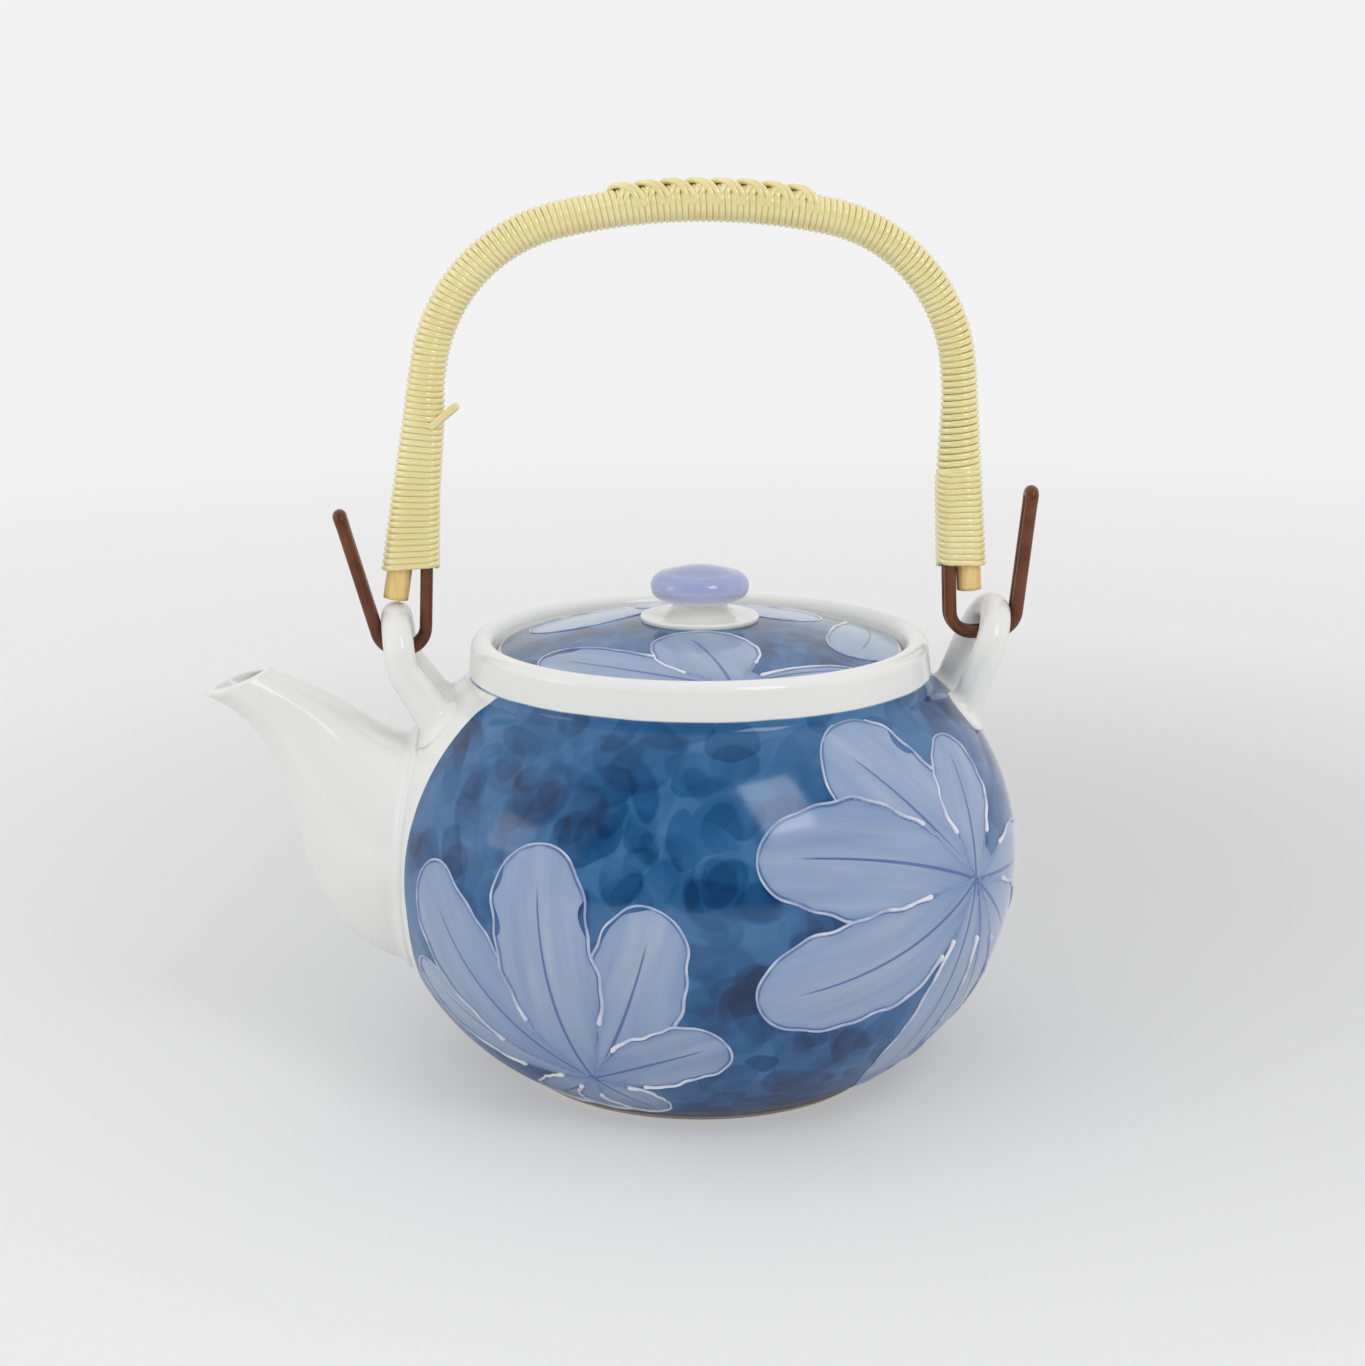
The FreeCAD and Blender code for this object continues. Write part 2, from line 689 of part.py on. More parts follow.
def cord_path(name):
    """Quarter-turn biarcs of a binding, with a straight run at its start and a lifted tail."""
    point = cord_line(name)
    quarters = 4 * int(size(f"{name}_binding_turns"))
    nodes = []
    for number in range(quarters + 1):
        angle = number * math.pi / 2
        nodes.append((point(angle), (point(angle + CLOSE) - point(angle - CLOSE)).normalize()))
    first, first_way = nodes[0]
    last, last_way = nodes[-1]
    begin = first - first_way * 2 * size("cord_radius")
    edges = [Part.LineSegment(begin, first).toShape()]
    for (here, way), (there, next_way) in zip(nodes, nodes[1:]):
        edges += biarc(here, way, there, next_way)
    _, up, _ = leg_frame(name)
    sine, cosine = turn("tail_lift")
    half = size(f"{name}_tail_length") / 2
    elbow = last + last_way * half
    edges.append(arc_to(last, elbow, elbow + (last_way * cosine + up * sine) * half))
    return Part.Wire(edges)


def least_gap(path, name):
    """Smallest clear distance of a cord to itself, measured on points along it."""
    points = path.discretize(Distance=size("cord_radius"))
    apart = int(2 * math.pi * size("cane_radius") / 2 / size("cord_radius"))
    nearest = min(
        (there - here).Length
        for number, here in enumerate(points)
        for there in points[number + apart:number + 6 * apart]
    )
    print(f"{name} least gap of the cord to itself {nearest - 2 * size('cord_radius'):.2f} mm")


def binding(name):
    path = cord_path(name)
    least_gap(path, f"{name}_binding")
    start = path.Edges[0].Vertexes[0].Point
    way = path.Edges[0].tangentAt(path.Edges[0].FirstParameter)
    spin = FreeCAD.Rotation(V(0, 0, 1), way)
    corners = [
        start + spin.multVec(V(math.cos(angle), math.sin(angle), 0)) * size("cord_radius")
        for angle in (2 * math.pi * number / CORD_SIDES for number in range(CORD_SIDES))
    ]
    section = Part.makePolygon(corners + corners[:1])
    return shaped(f"{name}_binding", path.makePipeShell([section], True, False))


bindings = [binding(name) for name in SIDES]


# Check and write every piece

pieces = [pot_body, pot_shoulder, pot_collar, spout, strainer, *lugs, lid, lid_knob, handle_cane, grip_wrap,
          grip_plait, *hooks, *bindings]

doc.recompute()
failed = [thing.Name for thing in doc.Objects if "Invalid" in thing.State or "Error" in thing.State]
if failed:
    raise RuntimeError(f"these objects failed: {failed}")
for piece in pieces:
    if piece.Shape.isNull() or not piece.Shape.isValid():
        raise RuntimeError(f"{piece.Label} has no valid shape")
os.makedirs("parts", exist_ok=True)
for piece in pieces:
    piece.Shape.exportStep(f"parts/{piece.Label}.step")
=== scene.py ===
import math
import random

import bmesh
import bpy
import numpy as np
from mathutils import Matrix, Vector


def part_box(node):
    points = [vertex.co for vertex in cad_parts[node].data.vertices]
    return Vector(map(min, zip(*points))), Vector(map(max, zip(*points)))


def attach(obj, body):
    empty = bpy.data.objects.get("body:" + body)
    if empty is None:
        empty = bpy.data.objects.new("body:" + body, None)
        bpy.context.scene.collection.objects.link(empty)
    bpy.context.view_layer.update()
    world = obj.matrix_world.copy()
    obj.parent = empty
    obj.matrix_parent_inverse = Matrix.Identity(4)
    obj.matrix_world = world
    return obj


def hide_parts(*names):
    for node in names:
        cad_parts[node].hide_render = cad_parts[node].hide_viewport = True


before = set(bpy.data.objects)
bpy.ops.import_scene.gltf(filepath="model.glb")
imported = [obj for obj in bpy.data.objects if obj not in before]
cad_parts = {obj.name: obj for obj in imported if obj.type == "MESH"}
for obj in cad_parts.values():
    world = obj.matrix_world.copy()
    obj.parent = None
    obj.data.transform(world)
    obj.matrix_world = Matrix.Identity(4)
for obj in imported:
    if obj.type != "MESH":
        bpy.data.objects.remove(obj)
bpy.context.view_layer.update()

# Teapot with a lift-off lid and a wound cane bail.
# Sizes are in millimetres in the frame's axes: spout along -X, table at z = 0. Only the stage is in metres.

MM = 0.001

# Pot: two arcs meet at the belly, as on the solid
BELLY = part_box("pot_body")[1][0] / MM
BELLY_Z = 55.0
LOWER_R = 60.0
UPPER_R = 54.0
WALL = 3.6
FOOT_R = 44.0
FOOT_INNER = 39.5
FOOT_JOIN = 46.87
FOOT_Z = 2.4
RECESS_Z = 2.2
FLOOR_Z = 6.0
COLLAR_R = 56.6
COLLAR_Z = 98.05
COLLAR_FILLET = 3.2
PAINT_TOP = 100.15
RIM_ROUND = 2.8
RIM_Z = 105.82
GALLERY_R = 50.2
RIM_OUTER = GALLERY_R + 2 * RIM_ROUND
LEDGE_Z = 102.62
THROAT_R = 45.0
THROAT_Z = 100.82
FOOT_ROUND = 0.8
LEDGE_ROUND = 0.7
SMALL_ROUND = 0.6
FLOOR_FILLET = 2.0
POT_COLUMNS = 720
LOWER_TURN = math.asin((BELLY_Z - FOOT_Z) / LOWER_R)
LOWER_RUN = LOWER_R * LOWER_TURN
# Depth in the wall at which the roots of the spout and the lugs end
ROOT_DEPTH = 0.55 * WALL

# Spout stations: reach past the belly, rise over it, tilt, half depth, half width
SPOUT = [
    (-4.6, 2.0, 3.4, 28.1, 24.5),
    (11.0, 14.0, 12.6, 22.8, 17.5),
    (19.8, 30.3, 15.0, 12.7, 11.0),
    (30.0, 41.2, 30.0, 6.9, 7.9),
]
SPOUT_ROOT = 11.0
SPOUT_LIP = 14.0
SPOUT_WALL = 3.0
LIP_WALL = 2.0
MOUTH_TILT = 20.0
APERTURE_R = 17.0
APERTURE_Z = 57.0
SPOUT_FLARE = 2.6
SPOUT_COLUMNS = 120

# Lugs
PIVOT_Z = 103.05
LUG_X = {"front": 72.35, "rear": 69.95}
RING_LEAN = {"front": 6.0, "rear": 14.0}
SIDE = {"front": -1, "rear": 1}
RING_R = 11.0
BAR_R = 3.7
# Ears: reach and height of the ring, its lean, the legs' lean and how fast the legs widen
EAR = {"front": (LUG_X["front"], PIVOT_Z, RING_LEAN["front"], 33.0, 0.07),
       "rear": (68.66, 103.4, 21.0, 21.0, 0.02)}
KNEE_R = 9.0
LEG_LONGEST = 30.0
LEG_DEPTH = 0.7 * WALL
LUG_FLARE = 2.8
LUG_STEP = 0.6
LUG_SIDES = 40

# Lid and knob
LID_SEAT = 102.92
LID_EDGE = 48.1
LID_EDGE_ROUND = 1.3
LID_TOP = 112.8
DOME_R = 162.5
LID_WALL = 3.6
FLANGE_R = 44.3
FLANGE_INNER = 41.3
FLANGE_Z = 95.92
FLANGE_ROUND = 1.2
LID_COLUMNS = 480
VENT_R = 1.5
VENT_Y = 22.0
KNOB_BASE_R = 14.5
KNOB_BASE_HEIGHT = 1.2
KNOB_STEM_R = 6.5
KNOB_UNDER = 117.0
KNOB_EDGE = 8.6
KNOB_ROUND = 3.4
KNOB_TOP = 125.3
KNOB_COLUMNS = 200
# Powers that shape the hollow of the stem, in reach and in height
COVE_BEND = (1.25, 0.8)

# Bail
CANE_R = 3.0
CANE_END = 118.45
CROWN_Z = 211.85
CROWN_R = 150.0
CROWN_CENTRE = np.array([0, 0, CROWN_Z - CROWN_R])
CORNER_R = 40.0
LEG_SHIFT = {"front": 1.2, "rear": -3.5}
BAIL_LEAN = {"front": 9.2, "rear": 4.3}
BINDING_START = {"front": 5.8, "rear": 5.0}
BINDING_TOP = {"front": 44.0, "rear": 30.3}
BINDING_TURNS = {"front": 24, "rear": 16}
BINDING_SLANT = {"front": 2.6, "rear": 0.8}
BINDING_TAPER = {"front": 1.3, "rear": 0.4}
BINDING_STEPS = 120
# Loose end of the front cord: its direction inwards and up, and its root's place from the last turn
TAIL_LENGTH = 6.6
TAIL_R = 1.0
TAIL_WAY = (0.66, 0.75)
TAIL_ROOT = (1.8, 2.4)
CORD_R = 0.72
CORD_PRESSED = 0.79
GRIP_PITCH = 1.43
GRIP_SPREAD = 0.14
GRIP_UNEVEN = 0.05
GRIP_STEPS = 20
# Run in which the winding comes down from a binding to the bare cane
GRIP_EASE = {"front": 9, "rear": 18}

# Plait: its run about the crown, and its cords as share of a repeat, angle from the crest and lift
PLAIT_RUN = (-20.0, 26.5)
PLAIT_REPEATS = 8
PLAIT_LIFT = 0.3
PLAIT_OVER = [(0.5, 84, -0.95), (0.47, 60, -0.5), (0.2, 30, 0.35), (-0.32, -4, 0.45), (-0.62, -46, -0.8)]
PLAIT_UNDER = [(-0.2, 66, -0.95), (-0.08, 40, -0.35), (0.22, 8, -0.3), (0.5, -42, -0.9)]

# Hooks
WIRE_R = 1.4
WIRE_COVER = 0.12
FOLD_COVER = 0.22
FOLD_SPREAD = 1.8
STRAND_Y = 1.55
STRAND_GAP = 0.05
STRAND_OUT = 5.57
HOOK_BEND = 5.6
HOOK_TUCK = 20.0
HOOK_LENGTH = {"front": 32.3, "rear": 33.0}
HOOK_LEAN = {"front": 16.0, "rear": 6.0}
HOOK_ROOM = {"front": 0.6, "rear": 3.0}
HOOK_DROP = {"front": 3.0, "rear": 4.8}
HOOK_OUTER_ROOM = 0.5

ACROSS = np.array([0, 1.0, 0])


# Points and lines

def unit(vector):
    return vector / np.linalg.norm(vector)


def units(vectors):
    return vectors / np.linalg.norm(vectors, axis=-1)[..., None]


def sine_cosine(degrees):
    return math.sin(math.radians(degrees)), math.cos(math.radians(degrees))


def reach_of(points):
    """Distance of points from the pot's axis."""
    return np.hypot(points[..., 0], points[..., 1])


def arc(centre, radius, start, end, step):
    """Points on a circle in the plane of reach and height, between two angles in degrees."""
    count = int(abs(math.radians(end - start)) * radius / step) + 2
    angles = np.radians(np.linspace(start, end, count))
    return [(centre[0] + radius * math.cos(a), centre[1] + radius * math.sin(a)) for a in angles]


def rounded(corners, step=0.5):
    """Line through corners, each a point with the radius that rounds it."""
    points = [np.array(corner[:-1], float) for corner in corners]
    line = [points[0]]
    for before, here, after, corner in zip(points, points[1:], points[2:], corners[1:]):
        radius = corner[-1]
        back, ahead = unit(before - here), unit(after - here)
        half = math.acos(max(-1, min(1, back @ ahead))) / 2
        turn = math.pi - 2 * half
        if radius == 0 or turn < 0.01:
            line.append(here)
            continue
        centre = here + unit(back + ahead) * radius / math.sin(half)
        first = here + back * radius / math.tan(half) - centre
        last = here + ahead * radius / math.tan(half) - centre
        for share in np.linspace(0, 1, int(turn * radius / step) + 3):
            mix = first * math.sin((1 - share) * turn) + last * math.sin(share * turn)
            line.append(centre + mix / math.sin(turn))
    line.append(points[-1])
    return np.array(line)


def sharp(points):
    """Points as corners for rounded that stay sharp."""
    return [(*point, 0) for point in points]


def lengths_along(line):
    """Distance of each point of a line from its start."""
    return np.concatenate([[0], np.cumsum(np.linalg.norm(np.diff(line, axis=0), axis=1))])


def at_lengths(line, lengths, where):
    """Points at distances along a line."""
    return np.stack([np.interp(where, lengths, line[:, axis]) for axis in range(line.shape[1])], -1)


def even(line, step):
    """Points at even distances along a line."""
    line = np.array(line)
    lengths = lengths_along(line)
    where = np.linspace(0, lengths[-1], max(2, int(lengths[-1] / step) + 1))
    return at_lengths(line, lengths, where)


def spline(knots, values, where):
    """Natural cubic through values at knots."""
    knots, values = np.array(knots, float), np.array(values, float)
    gaps = np.diff(knots)
    count = len(knots)
    system = np.eye(count)
    right = np.zeros((count, values.shape[1]))
    slopes = np.diff(values, axis=0) / gaps[:, None]
    for row in range(1, count - 1):
        system[row, row - 1:row + 2] = gaps[row - 1], 2 * (gaps[row - 1] + gaps[row]), gaps[row]
        right[row] = 6 * (slopes[row] - slopes[row - 1])
    bend = np.linalg.solve(system, right)
    part = np.clip(np.searchsorted(knots, where, side="right") - 1, 0, count - 2)
    gap = gaps[part][:, None]
    ahead = (knots[part + 1] - where)[:, None]
    past = (where - knots[part])[:, None]
    curve = (bend[part] * ahead ** 3 + bend[part + 1] * past ** 3) / (6 * gap)
    curve += (values[part] / gap - bend[part] * gap / 6) * ahead
    return curve + (values[part + 1] / gap - bend[part + 1] * gap / 6) * past


# Meshes

def grid_faces(rows, columns, close_rows=False):
    """Four-sided faces of a grid whose columns run round."""
    strips = rows if close_rows else rows - 1
    row, column = np.meshgrid(np.arange(strips), np.arange(columns), indexing="ij")
    beside, above = (column + 1) % columns, (row + 1) % rows
    corners = [(row, column), (row, beside), (above, beside), (above, column)]
    return np.stack([r * columns + c for r, c in corners], -1).reshape(-1, 4).tolist()


def placed(name, data):
    """Object in the scene."""
    thing = bpy.data.objects.new(name, data)
    bpy.context.collection.objects.link(thing)
    return thing


def closed_mesh(name, points, faces):
    """Mesh with points in one place merged and its faces turned outwards."""
    mesh = bpy.data.meshes.new(name)
    mesh.from_pydata((np.reshape(points, (-1, 3)) * MM).tolist(), [], faces)
    shape = bmesh.new()
    shape.from_mesh(mesh)
    bmesh.ops.remove_doubles(shape, verts=shape.verts, dist=1e-7)
    bmesh.ops.recalc_face_normals(shape, faces=shape.faces)
    shape.to_mesh(mesh)
    shape.free()
    return mesh


def piece(name, points, faces, body, slot, replaced=()):
    """A smooth closed mesh that rides on a body and takes the place of nodes."""
    thing = placed(name, closed_mesh(name, points, faces))
    thing.data.shade_smooth()
    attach(thing, body)
    if replaced:
        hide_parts(*replaced)
    return thing


def revolved(profile, columns):
    """Grid of a profile turned about the pot's axis."""
    turn = np.linspace(0, 2 * math.pi, columns, endpoint=False)
    reach, height = profile[:, :1], profile[:, 1:]
    grid = np.stack([reach * np.cos(turn), reach * np.sin(turn), height + 0 * turn], -1)
    return grid, grid_faces(len(profile), columns)


def tube(line, radius, sides, cap=True):
    """Rings of a tube along a line, with domed ends."""
    line = np.asarray(line, float)
    radius = np.broadcast_to(np.asarray(radius, float), len(line)).copy()
    if cap:
        first, last = unit(line[0] - line[1]), unit(line[-1] - line[-2])
        angles = np.linspace(math.pi / 2, 0, 5)[:-1]
        steps, shrink = np.sin(angles), np.cos(angles)
        shrink[0] = 0.05
        head = line[0] + first * (steps * radius[0])[:, None]
        foot = (line[-1] + last * (steps * radius[-1])[:, None])[::-1]
        radius = np.concatenate([shrink * radius[0], radius, (shrink * radius[-1])[::-1]])
        line = np.concatenate([head, line, foot])
    way = units(np.gradient(line, axis=0))
    side = np.cross(way[0], (0, 0, 1) if abs(way[0][2]) < 0.9 else (1, 0, 0))
    across = []
    for along in way:
        side = unit(side - along * (side @ along))
        across.append(side)
    across = np.array(across)
    other = np.cross(way, across)
    turn = np.linspace(0, 2 * math.pi, sides, endpoint=False)[None, :, None]
    ring = across[:, None] * np.cos(turn) + other[:, None] * np.sin(turn)
    return line[:, None] + ring * radius[:, None, None]


def tube_faces(rows, sides):
    faces = grid_faces(rows, sides)
    faces.append(list(range(sides)))
    faces.append(list(range((rows - 1) * sides, rows * sides)))
    return faces


def joined(tubes):
    """Points and faces of several tubes as one mesh."""
    points, faces, start = [], [], 0
    for rings in tubes:
        rows, sides = rings.shape[:2]
        points.append(rings.reshape(-1, 3))
        faces += [[start + corner for corner in face] for face in tube_faces(rows, sides)]
        start += rows * sides
    return np.concatenate(points), faces


def cut(thing, tool_points, tool_faces):
    """Take a closed tool out of a piece."""
    tool = placed("tool", closed_mesh("tool", tool_points, tool_faces))
    boolean = thing.modifiers.new("cut", "BOOLEAN")
    boolean.operation = "DIFFERENCE"
    boolean.solver = "MANIFOLD"
    boolean.object = tool
    bpy.context.view_layer.update()
    carved = bpy.data.meshes.new_from_object(thing.evaluated_get(bpy.context.evaluated_depsgraph_get()))
    thing.modifiers.clear()
    thing.data = carved
    carved.shade_smooth()
    carved.set_sharp_from_angle(angle=math.radians(50))
    bpy.data.objects.remove(tool)


# Pot

def pot_gap(points):
    """Distance of points from the outside of the pot, and the direction away from it."""
    reach = np.maximum(reach_of(points), 1e-6)
    low = points[..., 2] < BELLY_Z
    radius = np.where(low, LOWER_R, UPPER_R)
    out, up = reach - (BELLY - radius), points[..., 2] - BELLY_Z
    span = np.hypot(out, up)
    flat = out / span / reach
    away = np.stack([points[..., 0] * flat, points[..., 1] * flat, up / span], -1)
    return span - radius, away


def pot_point(azimuth, along):
    """Point on the outside at an azimuth in degrees and a distance along the profile from the foot."""
    low = along < LOWER_RUN
    radius = LOWER_R if low else UPPER_R
    angle = along / LOWER_R - LOWER_TURN if low else (along - LOWER_RUN) / UPPER_R
    reach = BELLY - radius + radius * math.cos(angle)
    turn = math.radians(azimuth)
    return np.array([reach * math.cos(turn), reach * math.sin(turn), BELLY_Z + radius * math.sin(angle)])


def pot_profile():
    """Outline of the wall from under the foot, up the outside, over the rim and down the inside."""
    degrees = math.degrees
    collar_turn = degrees(math.asin((COLLAR_Z - BELLY_Z) / UPPER_R))
    crease_turn = collar_turn - 5
    inner_low, inner_high = LOWER_R - WALL, UPPER_R - WALL
    throat_turn = degrees(math.asin((THROAT_Z - BELLY_Z) / inner_high))
    floor_turn = degrees(math.asin((BELLY_Z - FLOOR_Z) / inner_low))
    low, high = (BELLY - LOWER_R, BELLY_Z), (BELLY - UPPER_R, BELLY_Z)
    fine, coarse = 0.7, 3.0
    # The arcs stop short of the corners that are rounded
    outside = arc(low, LOWER_R, -degrees(LOWER_TURN), 0, fine)[2:-1]
    outside += arc(high, UPPER_R, 0, crease_turn, fine)[:-1]
    outside += arc(high, UPPER_R, crease_turn, collar_turn, fine / 3)[:-9]
    rim = arc((GALLERY_R + RIM_ROUND, RIM_Z), RIM_ROUND, 0, 180, 0.5)
    inside = arc(high, inner_high, throat_turn, 0, coarse)[1:-1]
    inside += arc(low, inner_low, 0, -floor_turn, coarse)[:-2]
    floor_reach = low[0] + inner_low * math.cos(math.radians(floor_turn))
    # Close rows where the paint ends on the collar
    paint_end = [(np.interp(z, (COLLAR_Z, RIM_Z), (COLLAR_R, RIM_OUTER)), z)
                 for z in np.arange(PAINT_TOP - 0.3, PAINT_TOP + 0.9, 0.2)]
    return rounded([
        (0, RECESS_Z, 0), (FOOT_INNER, RECESS_Z, LEDGE_ROUND), (FOOT_INNER, 0, FOOT_ROUND),
        (FOOT_R, 0, FOOT_ROUND), (FOOT_JOIN, FOOT_Z, SMALL_ROUND), *sharp(outside),
        (COLLAR_R, COLLAR_Z, COLLAR_FILLET), *sharp(paint_end + rim), (GALLERY_R, LEDGE_Z, SMALL_ROUND),
        (THROAT_R, LEDGE_Z, LEDGE_ROUND), (THROAT_R, THROAT_Z, SMALL_ROUND), *sharp(inside),
        (floor_reach, FLOOR_Z, FLOOR_FILLET), (0, FLOOR_Z, 0)])


def bar(middle, way, radius, length, sides=64):
    """Points and faces of a round bar."""
    rings = tube([middle - way * length / 2, middle + way * length / 2], radius, sides, cap=False)
    return rings, tube_faces(2, sides)


def pot_skin():
    shells = ["pot_body", "pot_shoulder", "pot_collar"]
    thing = piece("pot_skin", *revolved(pot_profile(), POT_COLUMNS), "pot", "porcelain", shells)
    middle = np.array([-BELLY, 0, APERTURE_Z])
    cut(thing, *bar(middle, np.array([1.0, 0, 0]), APERTURE_R, BELLY))
    return thing


def flared(rings, centres, flare):
    """Rings that spread in a hollow round where they meet the pot, and end inside its wall."""
    gap, _ = pot_gap(rings)
    near = np.clip(1 - gap / flare, 0, 1)
    spread = flare * (1 - np.sqrt(1 - np.minimum(near, 0.98) ** 2))
    rings = rings + units(rings - centres) * spread[..., None]
    gap, normal = pot_gap(rings)
    return rings + normal * np.maximum(0, -ROOT_DEPTH - gap)[..., None]


# Spout

def spout_grid(wall, lip_wall, where, turn):
    """Points of the spout's skin, or of its channel when a wall is given, at places along it."""
    last = len(SPOUT) - 1
    slides = {0: (-SPOUT_ROOT, 0), last: (0, SPOUT_LIP)}
    values = []
    for number, (reach, rise, tilt, depth, width) in enumerate(SPOUT):
        sine, cosine = sine_cosine(tilt)
        centre = np.array([-BELLY - reach, 0, BELLY_Z + rise])
        axis, lift = np.array([-cosine, 0, sine]), np.array([sine, 0, cosine])
        thin = wall + (lip_wall - wall) * number / last
        for slide in slides.get(number, (0,)):
            values.append([*(centre + axis * slide), *(lift * (depth - thin)), width - thin])
    values = np.array(values)
    knots = lengths_along(values[:, :3])
    where = np.asarray(where) * knots[-1]
    flat = spline(knots, values, where.reshape(-1)).reshape(*where.shape, 7)
    points = flat[..., :3] + flat[..., 3:6] * np.cos(turn)[..., None]
    points[..., 1] += flat[..., 6] * np.sin(turn)
    return points, flat[..., :3]


def crossing(level, wanted):
    """Share along each column at which a rising level first passes a wanted one."""
    rows = level.shape[0]
    past = np.argmax(level > wanted, axis=0)
    columns = np.arange(level.shape[1])
    here, before = level[past, columns], level[past - 1, columns]
    return (past - (here - wanted) / (here - before)) / (rows - 1)


def mouth_normal():
    sine, cosine = sine_cosine(MOUTH_TILT)
    return np.array([-sine, 0, cosine])


def spout_side(wall, lip_wall, rows):
    """Grid of one side of the spout's wall, from inside the pot's wall to the mouth."""
    turn = np.linspace(0, 2 * math.pi, SPOUT_COLUMNS, endpoint=False)
    shares = np.linspace(0, 1, 400)[:, None] + 0 * turn
    points, _ = spout_grid(wall, lip_wall, shares, turn + 0 * shares)
    gap, _ = pot_gap(points)
    reach, rise, tilt, depth, _ = SPOUT[-1]
    sine, cosine = sine_cosine(tilt)
    heel = np.array([-BELLY - reach + sine * depth, 0, BELLY_Z + rise + cosine * depth])
    over = (points - heel) @ mouth_normal()
    # The inner half never counts as over the mouth
    over = np.where(shares > 0.5, over, -99)
    start, end = crossing(gap, -ROOT_DEPTH), crossing(over, -LIP_WALL * 0.5)
    shares = start + (end - start) * np.linspace(0, 1, rows)[:, None]
    return spout_grid(wall, lip_wall, shares, turn + 0 * shares)


def spout():
    outer, centres = spout_side(0, 0, 130)
    outer = flared(outer, centres, SPOUT_FLARE)
    inner, _ = spout_side(SPOUT_WALL, LIP_WALL, 60)
    middle, half = (outer[-1] + inner[-1]) / 2, (outer[-1] - inner[-1]) / 2
    normal = mouth_normal()
    lip = [
        middle + half * math.cos(angle) + normal * LIP_WALL * 0.5 * math.sin(angle)
        for angle in np.linspace(0, math.pi, 9)[1:-1]
    ]
    grid = np.concatenate([outer, np.array(lip), inner[::-1]])
    faces = grid_faces(len(grid), SPOUT_COLUMNS, close_rows=True)
    return piece("spout_skin", grid, faces, "pot", "porcelain", ["spout"])


# Lugs

def lug(name):
    """Arched ear: a half ring on two legs that end in the pot's wall."""
    side = SIDE[name]
    reach, height, lean, leg, widen = EAR[name]
    (lean_sine, lean_cosine), (leg_sine, leg_cosine) = sine_cosine(lean), sine_cosine(leg)
    up = np.array([side * lean_sine, 0, lean_cosine])
    down = np.array([-side * leg_sine, 0, -leg_cosine])
    middle = np.array([side * reach, 0, height])
    knee = middle + ACROSS * RING_R
    length = LEG_LONGEST
    while pot_gap(knee + down * length)[0] < -LEG_DEPTH:
        length -= 0.1
    turns = np.radians([25, 40, 55, 70, 90])
    half = [knee + down * length, knee,
            *(middle + RING_R * (ACROSS * math.cos(a) + up * math.sin(a)) for a in turns)]
    mirror = [point * (1, -1, 1) for point in half[:-1]]
    line = even(rounded([(*point, KNEE_R) for point in half + mirror[::-1]]), LUG_STEP)
    foot = np.minimum(np.arange(len(line)), np.arange(len(line))[::-1]) * LUG_STEP
    radius = BAR_R + widen * np.maximum(0, length - foot)
    rings = flared(tube(line, radius, LUG_SIDES, cap=False), line[:, None], LUG_FLARE)
    faces = tube_faces(len(line), LUG_SIDES)
    return piece(f"{name}_lug_skin", rings, faces, "pot", "porcelain", [f"{name}_lug"])


# Lid and knob

def dome_height(reach, sink=0.0):
    return LID_TOP - DOME_R + math.sqrt((DOME_R - sink) ** 2 - reach ** 2)


def lid_gap(points):
    """Distance of points over the lid's dome, and the direction away from it."""
    away = points - np.array([0, 0, LID_TOP - DOME_R])
    span = np.linalg.norm(away, axis=-1)
    return span - DOME_R, away / span[..., None]


def lid_skin():
    dome = [(reach, dome_height(reach), 0) for reach in np.arange(0, LID_EDGE - 0.4, 0.6)]
    edge = arc((LID_EDGE, LID_SEAT + LID_EDGE_ROUND), LID_EDGE_ROUND, 86, -90, 0.35)
    under = [(reach, dome_height(reach, LID_WALL), 0) for reach in np.arange(FLANGE_INNER - 3, 0, -3)]
    corners = [
        *dome, *sharp(edge), (FLANGE_R, LID_SEAT, 0.5), (FLANGE_R, FLANGE_Z, FLANGE_ROUND),
        (FLANGE_INNER, FLANGE_Z, FLANGE_ROUND), (FLANGE_INNER, dome_height(FLANGE_INNER, LID_WALL), 1.0),
        *under, (0, LID_TOP - LID_WALL, 0)]
    thing = piece("lid_skin", *revolved(rounded(corners, 0.4), LID_COLUMNS), "lid", "porcelain", ["lid"])
    cut(thing, *bar(np.array([0, VENT_Y, LID_TOP]), np.array([0, 0, 1.0]), VENT_R, 20.0, 32))
    return thing


def knob():
    base_z = dome_height(KNOB_BASE_R)
    base_top = base_z + KNOB_BASE_HEIGHT
    cove_run, cove_rise = KNOB_BASE_R - KNOB_STEM_R, KNOB_UNDER - base_top
    cove = [
        (KNOB_STEM_R + cove_run * (1 - math.sin(a)) ** COVE_BEND[0],
         KNOB_UNDER - cove_rise * math.cos(a) ** COVE_BEND[1])
        for a in np.linspace(0.2, math.pi / 2, 18)
    ]
    button = arc((KNOB_EDGE, KNOB_UNDER + KNOB_ROUND), KNOB_ROUND, -80, 88, 0.3)
    crown_z = button[-1][1]
    crown = [
        (reach, crown_z + (KNOB_TOP - crown_z) * (1 - (reach / KNOB_EDGE) ** 2))
        for reach in np.linspace(KNOB_EDGE * 0.92, 0, 12)
    ]
    corners = [
        (0, LID_TOP - 1.5, 0), (KNOB_BASE_R - 0.6, base_z - 0.6, 0), (KNOB_BASE_R, base_z, 0),
        (KNOB_BASE_R, base_top, 0.55), *sharp(cove), (KNOB_STEM_R + 0.2, KNOB_UNDER + 0.1, 0.4),
        *sharp(button + crown)]
    turned = revolved(rounded(corners, 0.25), KNOB_COLUMNS)
    return piece("knob_skin", *turned, "lid", "knob_glaze", ["lid_knob"])


# Bail

